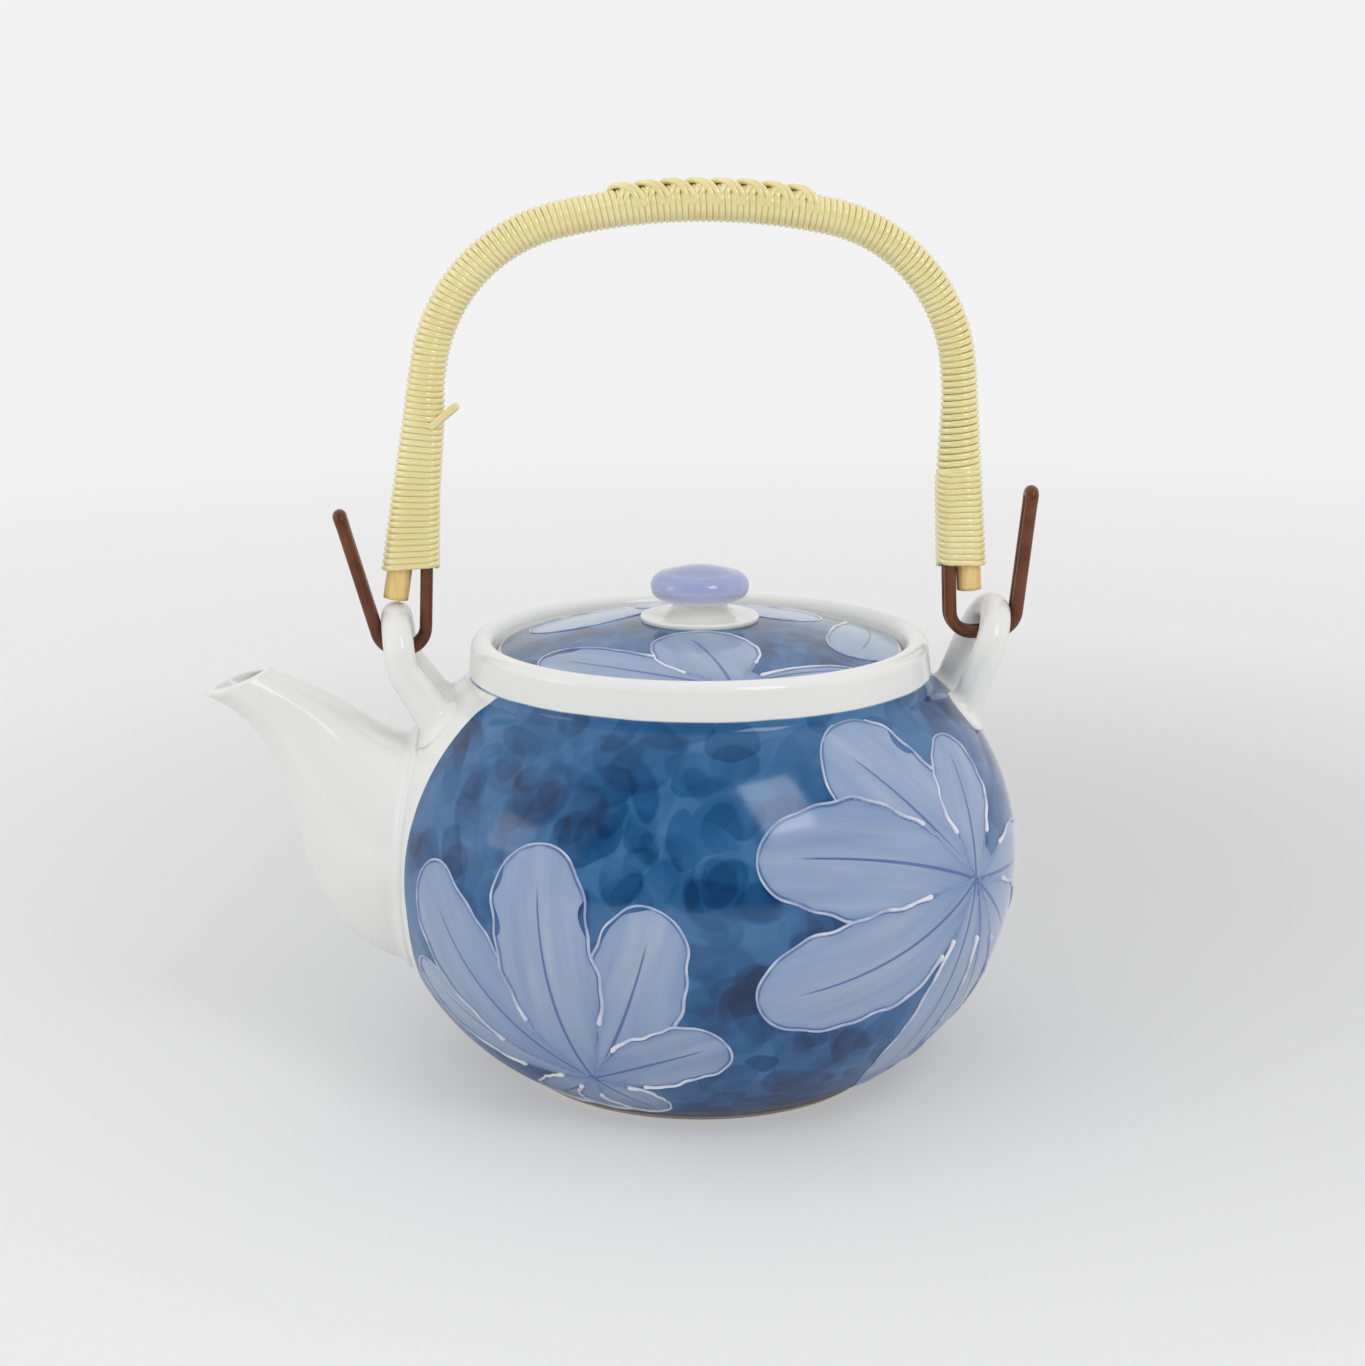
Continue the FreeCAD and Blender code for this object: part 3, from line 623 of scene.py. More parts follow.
def leg_frame(name):
    """End of a cane leg, its direction up the leg, and the direction towards the pot's axis."""
    side, (sine, cosine) = SIDE[name], sine_cosine(BAIL_LEAN[name])
    end = np.array([side * (LUG_X[name] + LEG_SHIFT[name]), 0, CANE_END])
    return end, np.array([-side * sine, 0, cosine]), np.array([-side * cosine, 0, -sine])


def leg_corner(name):
    """Where the corner arc of a leg starts, and its arc up to the crown."""
    end, up, inward = leg_frame(name)
    offset = end + inward * CORNER_R - CROWN_CENTRE
    along = offset @ up
    rise = -along + math.sqrt(along ** 2 - offset @ offset + (CROWN_R - CORNER_R) ** 2)
    centre = end + inward * CORNER_R + up * rise
    outward = unit(centre - CROWN_CENTRE)
    turn = math.acos(-inward @ outward)
    arms = [
        (-inward * math.sin((1 - share) * turn) + outward * math.sin(share * turn)) / math.sin(turn)
        for share in np.linspace(0, 1, 60)
    ]
    return [end] + [centre + arm * CORNER_R for arm in arms]


def bail_line():
    """Centre line of the bail, from the front end to the rear end of the cane."""
    front, rear = leg_corner("front"), leg_corner("rear")
    start, end = (math.atan2(point[0], point[2] - CROWN_CENTRE[2]) for point in (front[-1], rear[-1]))
    turns = np.linspace(start, end, 60)[1:-1]
    top = [CROWN_CENTRE + CROWN_R * np.array([math.sin(a), 0, math.cos(a)]) for a in turns]
    return even(front + top + rear[::-1], 0.25)


BAIL = bail_line()
BAIL_LENGTHS = lengths_along(BAIL)


def bail_at(where):
    """Points on the bail at distances from its front end, with the direction outwards from its arch."""
    points, ahead, back = (at_lengths(BAIL, BAIL_LENGTHS, where + far) for far in (0, 0.5, -0.5))
    way = units(ahead - back)
    return points, np.stack([-way[..., 2], 0 * way[..., 0], way[..., 0]], -1)


def cane():
    rod = tube(even(BAIL, 1.0), CANE_R, 40, cap=False)
    return piece("cane_rod", *joined([rod]), "bail", "cane", ["handle_cane"])


def grip():
    """Close winding of one cord over the cane, between the two bindings."""
    draw = random.Random(3)
    start, end = BINDING_TOP["front"], BAIL_LENGTHS[-1] - BINDING_TOP["rear"]
    stops = [start]
    while stops[-1] < end:
        share = (stops[-1] - start) / (end - start)
        pitch = GRIP_PITCH * (1 + GRIP_SPREAD * share ** 3)
        stops.append(stops[-1] + pitch + draw.uniform(-GRIP_UNEVEN, GRIP_UNEVEN))
    turns = np.arange(0, len(stops) - 1, 1 / GRIP_STEPS)
    where = np.interp(turns, np.arange(len(stops)), stops)
    centre, outward = bail_at(where)
    angle = turns[:, None] * 2 * math.pi
    packed = 0
    for name, far in (("front", where - start), ("rear", end - where)):
        spare = STRAND_OUT - CANE_R - BINDING_TAPER[name]
        packed = packed + spare * np.clip(1 - far / GRIP_EASE[name], 0, 1)
    inner = np.clip(-np.cos(angle), 0, 1) ** 1.5
    lift = CANE_R + CORD_R + packed[:, None] * inner
    line = centre + lift * (outward * np.cos(angle) - ACROSS * np.sin(angle))
    return piece("grip_winding", *joined([tube(line, CORD_PRESSED, 8)]), "bail", "cord", ["grip_wrap"])


def plait():
    """Pairs of cords that rise from the winding, bend over the crest and cross the pairs under them."""
    first, last = PLAIT_RUN
    repeat = (last - first) / PLAIT_REPEATS
    middle = BAIL_LENGTHS[np.argmin(np.abs(BAIL[:, 0]))]
    crest = CANE_R + 2 * CORD_R + PLAIT_LIFT
    tubes = []
    for number in range(PLAIT_REPEATS):
        for stops in (PLAIT_UNDER, PLAIT_OVER):
            along, angle, lift = spline(np.linspace(0, 1, len(stops)), stops, np.linspace(0, 1, 40)).T
            turn = np.radians(angle)[:, None]
            for strand in (-CORD_R, CORD_R):
                start = first + (number + 0.5) * repeat + strand
                centre, outward = bail_at(middle + start + along * repeat)
                arm = outward * np.cos(turn) - ACROSS * np.sin(turn)
                tubes.append(tube(even(centre + (crest + lift)[:, None] * arm, 0.35), CORD_R, 8))
    return piece("grip_braid", *joined(tubes), "bail", "cord", ["grip_plait"])


def hook_corners(name):
    """Corners of a hook in its own plane, from the tucked end to the free end."""
    side = SIDE[name]
    (ring_sine, ring_cosine), (sine, cosine) = sine_cosine(RING_LEAN[name]), sine_cosine(HOOK_LEAN[name])
    reach = BAR_R + WIRE_R
    inner = LUG_X[name] - reach - HOOK_ROOM[name]
    rise = RING_R * ring_cosine - HOOK_DROP[name]
    outer = LUG_X[name] + RING_R * ring_sine
    outer += (reach + HOOK_OUTER_ROOM - rise * sine) / cosine
    end, up, inward = leg_frame(name)
    beside = math.sqrt((CANE_R + WIRE_R + STRAND_GAP) ** 2 - STRAND_Y ** 2)
    tuck = end + up * (BINDING_START[name] + HOOK_TUCK) + inward * beside
    foot = PIVOT_Z + HOOK_DROP[name]
    way = np.array([side * sine, 0, cosine])
    heel = np.array([side * outer, 0, foot])
    return [tuck, np.array([side * inner, 0, foot]), heel, heel + way * HOOK_LENGTH[name]]


def hook(name):
    """Doubled wire, folded at its free end."""
    corners = hook_corners(name)
    beside = np.array([0, STRAND_Y, 0])
    way = unit(corners[3] - corners[2])
    turns = np.linspace(math.pi, 0, 12)[1:-1]
    fold = [corners[3] + beside * math.cos(a) + way * STRAND_Y * math.sin(a) for a in turns]
    strand = rounded([(*(point - beside), HOOK_BEND) for point in corners])
    back = rounded([(*(point + beside), HOOK_BEND) for point in reversed(corners)])
    line = even(np.concatenate([strand, fold, back]), 0.5)
    fold_far = np.linalg.norm(line - corners[3] - way * STRAND_Y, axis=1)
    cover = tube(line, WIRE_R + WIRE_COVER + FOLD_COVER * np.exp(-(fold_far / FOLD_SPREAD) ** 2), 20)
    return piece(f"{name}_hook_wire", *joined([cover]), "bail", "hook_wire", [f"{name}_hook"])


def binding(name):
    """Taut cord wound round the cane and both strands of the hook."""
    end, up, inward = leg_frame(name)
    tuck, toe, *_ = hook_corners(name)
    start, top = BINDING_START[name] + CORD_R, BINDING_TOP[name] - CORD_R
    low, high = (toe - end) @ up, (tuck - end) @ up
    wide, narrow = (toe - end) @ inward, (tuck - end) @ inward
    steps = BINDING_TURNS[name] * BINDING_STEPS
    # Half a turn more at the front meets the grip's winding
    extra = BINDING_STEPS // 2 if name == "front" else 0
    line = []
    for step in np.arange(0, steps + extra + 1):
        angle = step / BINDING_STEPS * 2 * math.pi
        along = start + (top - start) * step / steps
        strand = wide + (narrow - wide) * min(1, (along - low) / (high - low))
        strand -= BINDING_TAPER[name] * max(0, along - high) / (top - high)
        facing = np.array([math.cos(angle), math.sin(angle)])
        circles = [((0, 0), CANE_R), ((strand, STRAND_Y), WIRE_R), ((strand, -STRAND_Y), WIRE_R)]
        centre, radius = max(circles, key=lambda c: np.array(c[0]) @ facing + c[1])
        at = np.array(centre) + facing * (radius + CORD_R)
        slant = BINDING_SLANT[name] * (1 - step / steps) * (at[0] + CANE_R) / (wide + CANE_R)
        line.append(end + up * (along + slant) + inward * at[0] + ACROSS * at[1])
    tubes = [tube(even(line, 0.45), CORD_PRESSED, 10)]
    if name == "front":
        way = unit(inward * TAIL_WAY[0] + up * TAIL_WAY[1])
        root = line[steps] - inward * TAIL_ROOT[0] - ACROSS * TAIL_ROOT[1]
        tubes.append(tube([root + way * far for far in np.linspace(-0.5, TAIL_LENGTH, 12)], TAIL_R, 12))
    return piece(f"{name}_lashing", *joined(tubes), "bail", "cord", [f"{name}_binding"])


# Brushwork: petals drawn on a surface, with raised lines of slip along their edges

PETAL_WIDEST = 0.6
HEART_R = 9.0
CORNER_ROUND = 6.0
SLIP_R = 0.46
# Waver of a petal's edge: size and pace
PETAL_WAVES = ((0.07, 8), (0.03, 19), (0.02, 43))

# Bare field round the spout: half width in degrees, widest line and drop along the profile, spread above
BARE_TURN = 21.5
BARE_WIDEST = 60
BARE_DROP = 32
BARE_SPREAD = 0.0008
UNPAINTED = -5.0

# Dabs of the ground: count, half length, half width, lightest and darkest strength
POT_DABS = [(400, 10.0, 6.0, 0.05, 0.19), (500, 7.0, 4.4, 0.08, 0.27), (200, 4.6, 3.0, 0.1, 0.34)]
LID_DABS = [(66, 10.0, 6.0, 0.06, 0.2), (84, 7.0, 4.4, 0.1, 0.3), (34, 4.6, 3.0, 0.1, 0.34)]
DAB_SPREAD = (0.7, 1.35)
DAB_EDGE = 0.12
GROUND = 0.16
PAINT_RUN = 114


class Petal:
    """Petal between a base and a tip on a surface, with the half width and the bend of its middle line."""

    def __init__(self, gap, base, tip, width, bend, waver, seed):
        draw = random.Random(seed)
        self.gap, self.base, self.width, self.bend, self.waver = gap, base, width, bend, waver
        self.tone = draw.uniform(-1, 1)
        self.waves = [[draw.uniform(0, 2 * math.pi) for _ in range(2)] for _ in range(2)]
        middle = (base + tip) / 2
        self.normal = gap(middle[None])[1][0]
        axis = tip - base
        axis = axis - self.normal * (axis @ self.normal)
        self.length = np.linalg.norm(axis)
        self.axis = axis / self.length
        self.side = np.cross(self.normal, self.axis)

    def middle(self, share):
        return self.bend * 4 * share * (1 - share)

    def half(self, share, hand):
        """Half width at a share of the length: slender base, blunt tip and a slow waver on each hand."""
        share = np.clip(share, 0, 1)
        rise = np.sin(math.pi / 2 * np.minimum(share / PETAL_WIDEST, 1)) ** 0.9
        past = np.clip((share - PETAL_WIDEST) / (1 - PETAL_WIDEST), 0, 1)
        full = self.width * rise * (1 - past ** 2.5) ** 0.45
        slow, quick = (np.where(hand > 0, *pair) for pair in zip(*self.waves))
        waves = zip(PETAL_WAVES, (slow, quick, slow + quick))
        swing = sum(size * np.sin(pace * share + phase) for (size, pace), phase in waves)
        return full * (1 + self.waver * swing)

    def place(self, points):
        """Share along the petal, distance from its middle line and distance from its edge."""
        offset = points - self.base
        share = offset @ self.axis / self.length
        across = offset @ self.side - self.middle(share)
        hand = np.sign(across)
        step = 0.01
        slope = (self.half(share + step, hand) - self.half(share - step, hand)) / (2 * step * self.length)
        edge = (np.abs(across) - self.half(share, hand)) / np.sqrt(1 + np.clip(slope, -3, 3) ** 2)
        past = np.maximum(share - 1, -share) * self.length
        edge = np.where(past > 0, np.hypot(np.maximum(past, 0), across), edge)
        return share, across, edge

    def on_surface(self, share, across):
        """Points of the surface under places on the petal."""
        points = self.base + np.outer(share * self.length, self.axis) + np.outer(across, self.side)
        for _ in range(6):
            gap, away = self.gap(points)
            points = points - np.outer(gap / np.maximum(away @ self.normal, 0.3), self.normal)
        return points

    def outline(self, start):
        """Points round the edge, from start on one hand over the tip to start on the other."""
        share = 1 - (1 - start) * np.linspace(1, 0, 120) ** 1.6
        lines = []
        for hand in (-1.0, 1.0):
            across = self.middle(share) + hand * self.half(share, hand)
            lines.append(self.on_surface(share, across))
        return np.concatenate([lines[0], lines[1][::-1][1:]])


def flower(gap, place, waver, centre, petals, seed):
    """Petals round a centre, the first lowest; each is a tip, a half width and a bend."""
    base = place(*centre)
    return [Petal(gap, base, place(*tip), width, bend, waver, seed + number)
            for number, (tip, width, bend) in enumerate(petals)]


def lid_point(azimuth, reach):
    turn = math.radians(azimuth)
    return np.array([reach * math.cos(turn), reach * math.sin(turn), dome_height(reach)])


POT_PETALS = [
    *flower(pot_gap, pot_point, 1.0, (-40, 68.9), [
        ((-67.6, 110), 14, 2), ((-34, 103.5), 9.5, 1), ((-3, 62.5), 9.5, 0), ((-8, 36), 10, 0),
        ((-25, 8), 9, 0), ((-50, 8), 9, -2), ((-85.7, 82.7), 12.5, -2), ((-85.7, 49.7), 13, 3)], 10),
    *flower(pot_gap, pot_point, 1.0, (-117.5, 22.5), [
        ((-157, 45.5), 9, 0), ((-149.6, 73), 12, 2), ((-136, 6), 7, 0), ((-118, 3), 7, 0), ((-104, 6), 7, 0),
        ((-102.6, 72), 12, -2), ((-90.5, 38), 9.5, 2), ((-123.8, 84), 13, 1)], 30),
    *flower(pot_gap, pot_point, 1.0, (58, 36), [
        ((24, 40), 10, 0), ((36, 76), 12, 1), ((58, 92), 13, -1), ((84, 74), 12.5, 1), ((96, 38), 10, 0),
        ((76, 8), 8, 0), ((42, 8), 8, 0)], 50),
    *flower(pot_gap, pot_point, 1.0, (136, 80), [
        ((100, 100), 10, 1), ((118, 110), 9, 0), ((150, 110), 9, 0), ((102, 62), 12, 2),
        ((119, 36), 12.5, -1), ((146, 42), 11, 1), ((156, 66), 8, 0)], 70),
]

LID_PETALS = [
    *flower(lid_gap, lid_point, 0.4, (88, 47.5), [
        ((174, 37), 15, 0), ((3, 25), 13, 0), ((120, 18), 9, 1)], 95),
    *flower(lid_gap, lid_point, 0.4, (-86, 47.5), [
        ((-44, 47.3), 2.6, 1), ((-155, 43), 8.8, 3), ((-110, 17), 12, -1)], 90),
    *flower(lid_gap, lid_point, 0.4, (26, 47.5), [((-36, 42), 9.5, 3)], 99),
]


def heart_distance(points, petals):
    """Distance of points from the nearest flower's centre."""
    hearts = np.unique([petal.base for petal in petals], axis=0)
    return np.min([np.linalg.norm(points - heart, axis=1) for heart in hearts], axis=0)


def paint_fields(points, normals, petals):
    """Edge, middle line, share and tone of the petal on top at each point, or of the nearest one."""
    edge = heart_distance(points, petals) - HEART_R
    across, share, tone = np.full(len(points), 9.0), np.zeros(len(points)), np.zeros(len(points))
    for petal in petals:
        here_share, here_across, here_edge = petal.place(points)
        here_edge = np.where(normals @ petal.normal > 0.1, here_edge, 60.0)
        wins = (here_edge < 0) | ((edge > 0) & (here_edge < edge))
        edge = np.where(wins, here_edge, edge)
        across = np.where(wins, here_across, across)
        share = np.where(wins, here_share, share)
        tone = np.where(wins, petal.tone, tone)
    return {"edge": edge, "across": across, "share": share, "tone": tone}


def dab_field(points, places, sizes, seed):
    """Darkness of thin brush dabs that add up over a pale ground."""
    draw = random.Random(seed)
    order = np.argsort(points[:, 0])
    points = points[order]
    dark = np.full(len(points), GROUND)
    for count, long, wide, lightest, darkest in sizes:
        for _ in range(count):
            centre, away = places(draw)
            spin = draw.uniform(0, 2 * math.pi)
            one = unit(np.cross(away, (0.1, 0.2, 1.0)))
            axis = one * math.cos(spin) + np.cross(away, one) * math.sin(spin)
            cross = np.cross(away, axis)
            half_long, half_wide = long * draw.uniform(*DAB_SPREAD), wide * draw.uniform(*DAB_SPREAD)
            tone = draw.uniform(lightest, darkest)
            near = slice(*np.searchsorted(points[:, 0], [centre[0] - half_long, centre[0] + half_long]))
            offset = points[near] - centre
            along, lift = offset @ axis / half_long, offset @ away / half_long
            beside = offset @ cross / half_wide
            ring = np.sqrt(along ** 2 + (beside + 0.3 * along ** 2) ** 2 + lift ** 2)
            pooled = np.clip(0.72 + 0.5 * along, 0.1, 1.1) * (0.82 + 0.3 * ring ** 3)
            dark[near] += tone * pooled * np.clip((1 - ring) / DAB_EDGE, 0, 1)
    spread = np.empty(len(points))
    spread[order] = dark
    return spread


def pot_dab_place(draw):
    point = pot_point(draw.uniform(-180, 180), draw.uniform(0, PAINT_RUN))
    return point, pot_gap(point[None])[1][0]


def lid_dab_place(draw):
    point = lid_point(draw.uniform(-180, 180), LID_EDGE * math.sqrt(draw.uniform(0.05, 1)))
    return point, lid_gap(point[None])[1][0]


def set_fields(thing, fields):
    for name, values in fields.items():
        attribute = thing.data.attributes.new(name, "FLOAT", "POINT")
        attribute.data.foreach_set("value", np.asarray(values, np.float32))


def mesh_points(thing):
    count = len(thing.data.vertices)
    points = np.empty(count * 3, np.float32)
    thing.data.vertices.foreach_get("co", points)
    return points.reshape(-1, 3).astype(float) / MM


def turn_from_spout(points):
    """Angle in degrees of points about the pot's axis, from the middle of the spout."""
    return np.degrees(np.abs(np.arctan2(points[:, 1], -points[:, 0])))


def paint_pot(thing):
    """Fields of the pot: brushwork on the outside up to the collar, bare round the spout."""
    points = mesh_points(thing)
    gap, normals = pot_gap(points)
    height, reach, turn = points[:, 2], reach_of(points), turn_from_spout(points)
    radius = np.where(height < BELLY_Z, LOWER_R, UPPER_R)
    along = LOWER_RUN + radius * np.arcsin(np.clip((height - BELLY_Z) / radius, -1, 1))
    limit = BARE_TURN * np.sqrt(np.clip(1 - ((BARE_WIDEST - along) / BARE_DROP) ** 2, 0, 1))
    limit = np.where(along > BARE_WIDEST, BARE_TURN + BARE_SPREAD * (along - BARE_WIDEST) ** 2, limit)
    beside = np.radians(turn - limit) * reach
    below = BARE_WIDEST - BARE_DROP - along
    bare = np.where(below > 0, np.maximum(beside, below), beside)
    under_collar = PAINT_TOP - height
    corner = [np.maximum(CORNER_ROUND - far, 0) for far in (bare, under_collar)]
    painted = np.minimum(np.minimum(bare, under_collar), CORNER_ROUND - np.hypot(*corner))
    # A thin line of blue in the crease over the spout
    crease = np.where((turn > 5) & (turn < 45), 0.4 - np.abs(height - PAINT_TOP + 0.4), -3.0)
    painted = np.maximum(painted, crease)
    fields = paint_fields(points, normals, POT_PETALS)
    fields["painted"] = np.where((gap < -1.2) | (height < 1.6), UNPAINTED, painted)
    fields["dab"] = dab_field(points, pot_dab_place, POT_DABS, 5)
    fields["foot"] = np.clip((1.3 - height) / 0.5, 0, 1) * (reach > FOOT_INNER - 1)
    set_fields(thing, fields)


def paint_lid(thing):
    """Fields of the lid: brushwork from the knob's base to the edge."""
    points = mesh_points(thing)
    gap, normals = lid_gap(points)
    reach = reach_of(points)
    painted = np.minimum(reach - KNOB_BASE_R + 1, LID_EDGE + 0.6 - reach)
    fields = paint_fields(points, normals, LID_PETALS)
    fields["painted"] = np.where(gap < -1.0, UNPAINTED, painted)
    fields["dab"] = dab_field(points, lid_dab_place, LID_DABS, 6)
    fields["foot"] = np.zeros(len(points))
    set_fields(thing, fields)


def slip_lines(name, petals, body, keep, size):
    """Raised lines along the visible edges of petals, fuller near the flower's centre, with beaded ends."""
    draw = random.Random(21)
    tubes = []
    for number, petal in enumerate(petals):
        line = even(petal.outline(draw.uniform(0.22, 0.34)), 0.5)
        seen = keep(line)
        for over in petals[number + 1:]:
            facing = petal.gap(line)[1] @ over.normal > 0.1
            seen &= ~(facing & (over.place(line)[2] < 0.2))
        breaks = np.flatnonzero(np.diff(np.concatenate([[0], seen.astype(int), [0]])))
        for start, end in zip(breaks[::2], breaks[1::2]):
            if end - start < 10:
                continue
            run = line[start:end]
            _, away = petal.gap(run)
            step = np.arange(end - start)
            full = np.clip(1 - petal.place(run)[0], 0, 0.8) ** 1.5
            swell = np.exp(-(np.minimum(step, step[::-1]) / 3.0) ** 2) * full
            slow, quick = draw.uniform(0, 6), draw.uniform(0, 6)
            waver = 0.06 * np.sin(step * 0.19 + slow) + 0.04 * np.sin(step * 0.53 + quick)
            tubes.append(tube(run + away * 0.05, size * (0.62 + waver + 0.75 * full + 0.6 * swell), 8))
    thing = piece(name, *joined(tubes), body, "porcelain")
    set_fields(thing, {"heart": heart_distance(mesh_points(thing), petals)})
    return thing


# Materials: colours as display values of 0 to 255, and ramps of them

GLAZE = (233, 234, 232), (239, 239, 236)
COBALT = [(0.1, (72, 119, 164)), (0.3, (47, 98, 147)), (0.5, (28, 80, 128)), (0.72, (18, 62, 107)),
          (0.95, (12, 45, 85))]
PETAL = [(0.16, (106, 136, 182)), (0.38, (134, 157, 191)), (0.58, (152, 171, 198)), (0.85, (182, 195, 210))]
RIB = (58, 92, 152)
EDGE_LINE = (60, 92, 150)
BISCUIT = (214, 198, 168)
SLIP = (148, 168, 205), (232, 235, 240)
# Lilac of the knob, with painted light low down and painted shade on top
LILAC_LIT_TO_SHADED = [(0.1, (214, 217, 232)), (0.42, (174, 184, 224)), (0.95, (144, 154, 198))]
CORD = [(0.3, (238, 222, 152)), (0.55, (245, 231, 168)), (0.75, (248, 238, 186))]
CANE = [(0.3, (226, 190, 118)), (0.6, (246, 214, 146)), (0.8, (250, 226, 168))]
WIRE = [(0.3, (88, 48, 26)), (0.7, (118, 67, 38))]


def linear(red, green, blue):
    """Colour of a shader socket from display values of 0 to 255."""
    def curve(value):
        share = value / 255
        return share / 12.92 if share <= 0.04045 else ((share + 0.055) / 1.055) ** 2.4
    return (curve(red), curve(green), curve(blue), 1)


class Graph:
    """Shader nodes of a material or a world; a socket given as an input is linked, anything else is set."""

    def __init__(self, name, kind="materials"):
        self.owner = getattr(bpy.data, kind).new(name)
        self.owner.use_nodes = True
        self.tree = self.owner.node_tree
        self.shader = self.tree.nodes.get("Principled BSDF")

    def put(self, socket, value):
        if isinstance(value, bpy.types.NodeSocket):
            self.tree.links.new(value, socket)
        else:
            socket.default_value = value

    def node(self, kind, inputs, **options):
        made = self.tree.nodes.new(kind)
        for key, value in options.items():
            setattr(made, key, value)
        for key, value in inputs.items():
            self.put(made.inputs[key], value)
        return made

    def math(self, operation, first, second=0.0, third=0.0):
        return self.node("ShaderNodeMath", {0: first, 1: second, 2: third}, operation=operation).outputs[0]

    def add(self, first, second):
        return self.math("ADD", first, second)

    def times(self, first, second):
        return self.math("MULTIPLY", first, second)

    def about(self, value, size):
        """Value about its middle of 0.5, at a size."""
        return self.times(self.math("SUBTRACT", value, 0.5), size)

    def vectors(self, operation, *inputs):
        """Result of vector maths, a number for the operations that give one."""
        made = self.node("ShaderNodeVectorMath", dict(enumerate(inputs)), operation=operation)
        return made.outputs["Value" if operation in ("DOT_PRODUCT", "LENGTH") else "Vector"]

    def step(self, value, low, high, start=0.0, end=1.0):
        """Smooth step from start at low to end at high."""
        inputs = {"Value": value, "From Min": low, "From Max": high, "To Min": start, "To Max": end}
        return self.node("ShaderNodeMapRange", inputs, interpolation_type="SMOOTHSTEP").outputs[0]

    def mix(self, share, first, second):
        """Blend of two colours, each a socket or display values."""
        made = self.node("ShaderNodeMix", {0: share}, data_type="RGBA")
        for key, colour in ((6, first), (7, second)):
            self.put(made.inputs[key], linear(*colour) if isinstance(colour, tuple) else colour)
        return made.outputs[2]

    def attribute(self, name):
        return self.node("ShaderNodeAttribute", {}, attribute_name=name).outputs["Fac"]

    def place(self):
        return self.node("ShaderNodeTexCoord", {}).outputs["Object"]

    def vector(self, x, y, z):
        return self.node("ShaderNodeCombineXYZ", {0: x, 1: y, 2: z}).outputs[0]

    def noise(self, scale, vector, detail=2.0):
        inputs = {"Vector": vector, "Scale": scale, "Detail": detail}
        return self.node("ShaderNodeTexNoise", inputs).outputs["Fac"]

    def dabs(self, scale):
        """Darkness of a layer of round brush dabs with crisp edges, each darker towards one side."""
        cloud = self.node("ShaderNodeTexNoise", {"Vector": self.place(), "Scale": scale * 0.8, "Detail": 2.0})
        bent = self.vectors("MULTIPLY_ADD", cloud.outputs["Color"], [0.9 / scale] * 3, self.place())
        cell = self.node("ShaderNodeTexVoronoi", {"Vector": bent, "Scale": scale}).outputs
        tone = self.node("ShaderNodeSeparateColor", {0: cell["Color"]}).outputs
        away = self.vectors("SUBTRACT", bent, cell["Position"])
        lean = self.vectors("SUBTRACT", cell["Color"], [0.5] * 3)
        slope = self.vectors("DOT_PRODUCT", away, lean)
        radius = self.math("MULTIPLY_ADD", tone[1], 0.2, 0.36)
        body = self.step(cell["Distance"], radius, self.math("SUBTRACT", radius, 0.04))
        dark = self.math("MULTIPLY_ADD", slope, scale * 0.45, self.math("MULTIPLY_ADD", tone[0], 0.24, 0.04))
        return self.times(body, self.math("MAXIMUM", dark, 0.02))

    def ramp(self, value, stops):
        made = self.node("ShaderNodeValToRGB", {"Fac": value})
        elements = made.color_ramp.elements
        while len(elements) < len(stops):
            elements.new(0.5)
        for element, (position, colour) in zip(elements, stops):
            element.position = position
            element.color = linear(*colour)
        return made.outputs["Color"]

    def bump(self, height, distance):
        made = self.node("ShaderNodeBump", {"Height": height, "Distance": distance, "Strength": 1.0})
        self.put(self.shader.inputs["Normal"], made.outputs[0])

    def set(self, **inputs):
        for key, value in inputs.items():
            self.put(self.shader.inputs[key.replace("_", " ")], value)
        return self.owner


def white_glaze(graph):
    """Slightly uneven white of glazed porcelain."""
    return graph.mix(graph.step(graph.noise(28.0, graph.place()), 0.3, 0.7), *GLAZE)


def glazed(graph, colour, roughness):
    """Clear, faintly rippled glaze over a colour."""
    graph.bump(graph.noise(90.0, graph.place(), 1.0), 0.00012)
    return graph.set(Base_Color=colour, Roughness=roughness, IOR=1.5)


def porcelain():
    graph = Graph("porcelain")
    return glazed(graph, white_glaze(graph), 0.13)


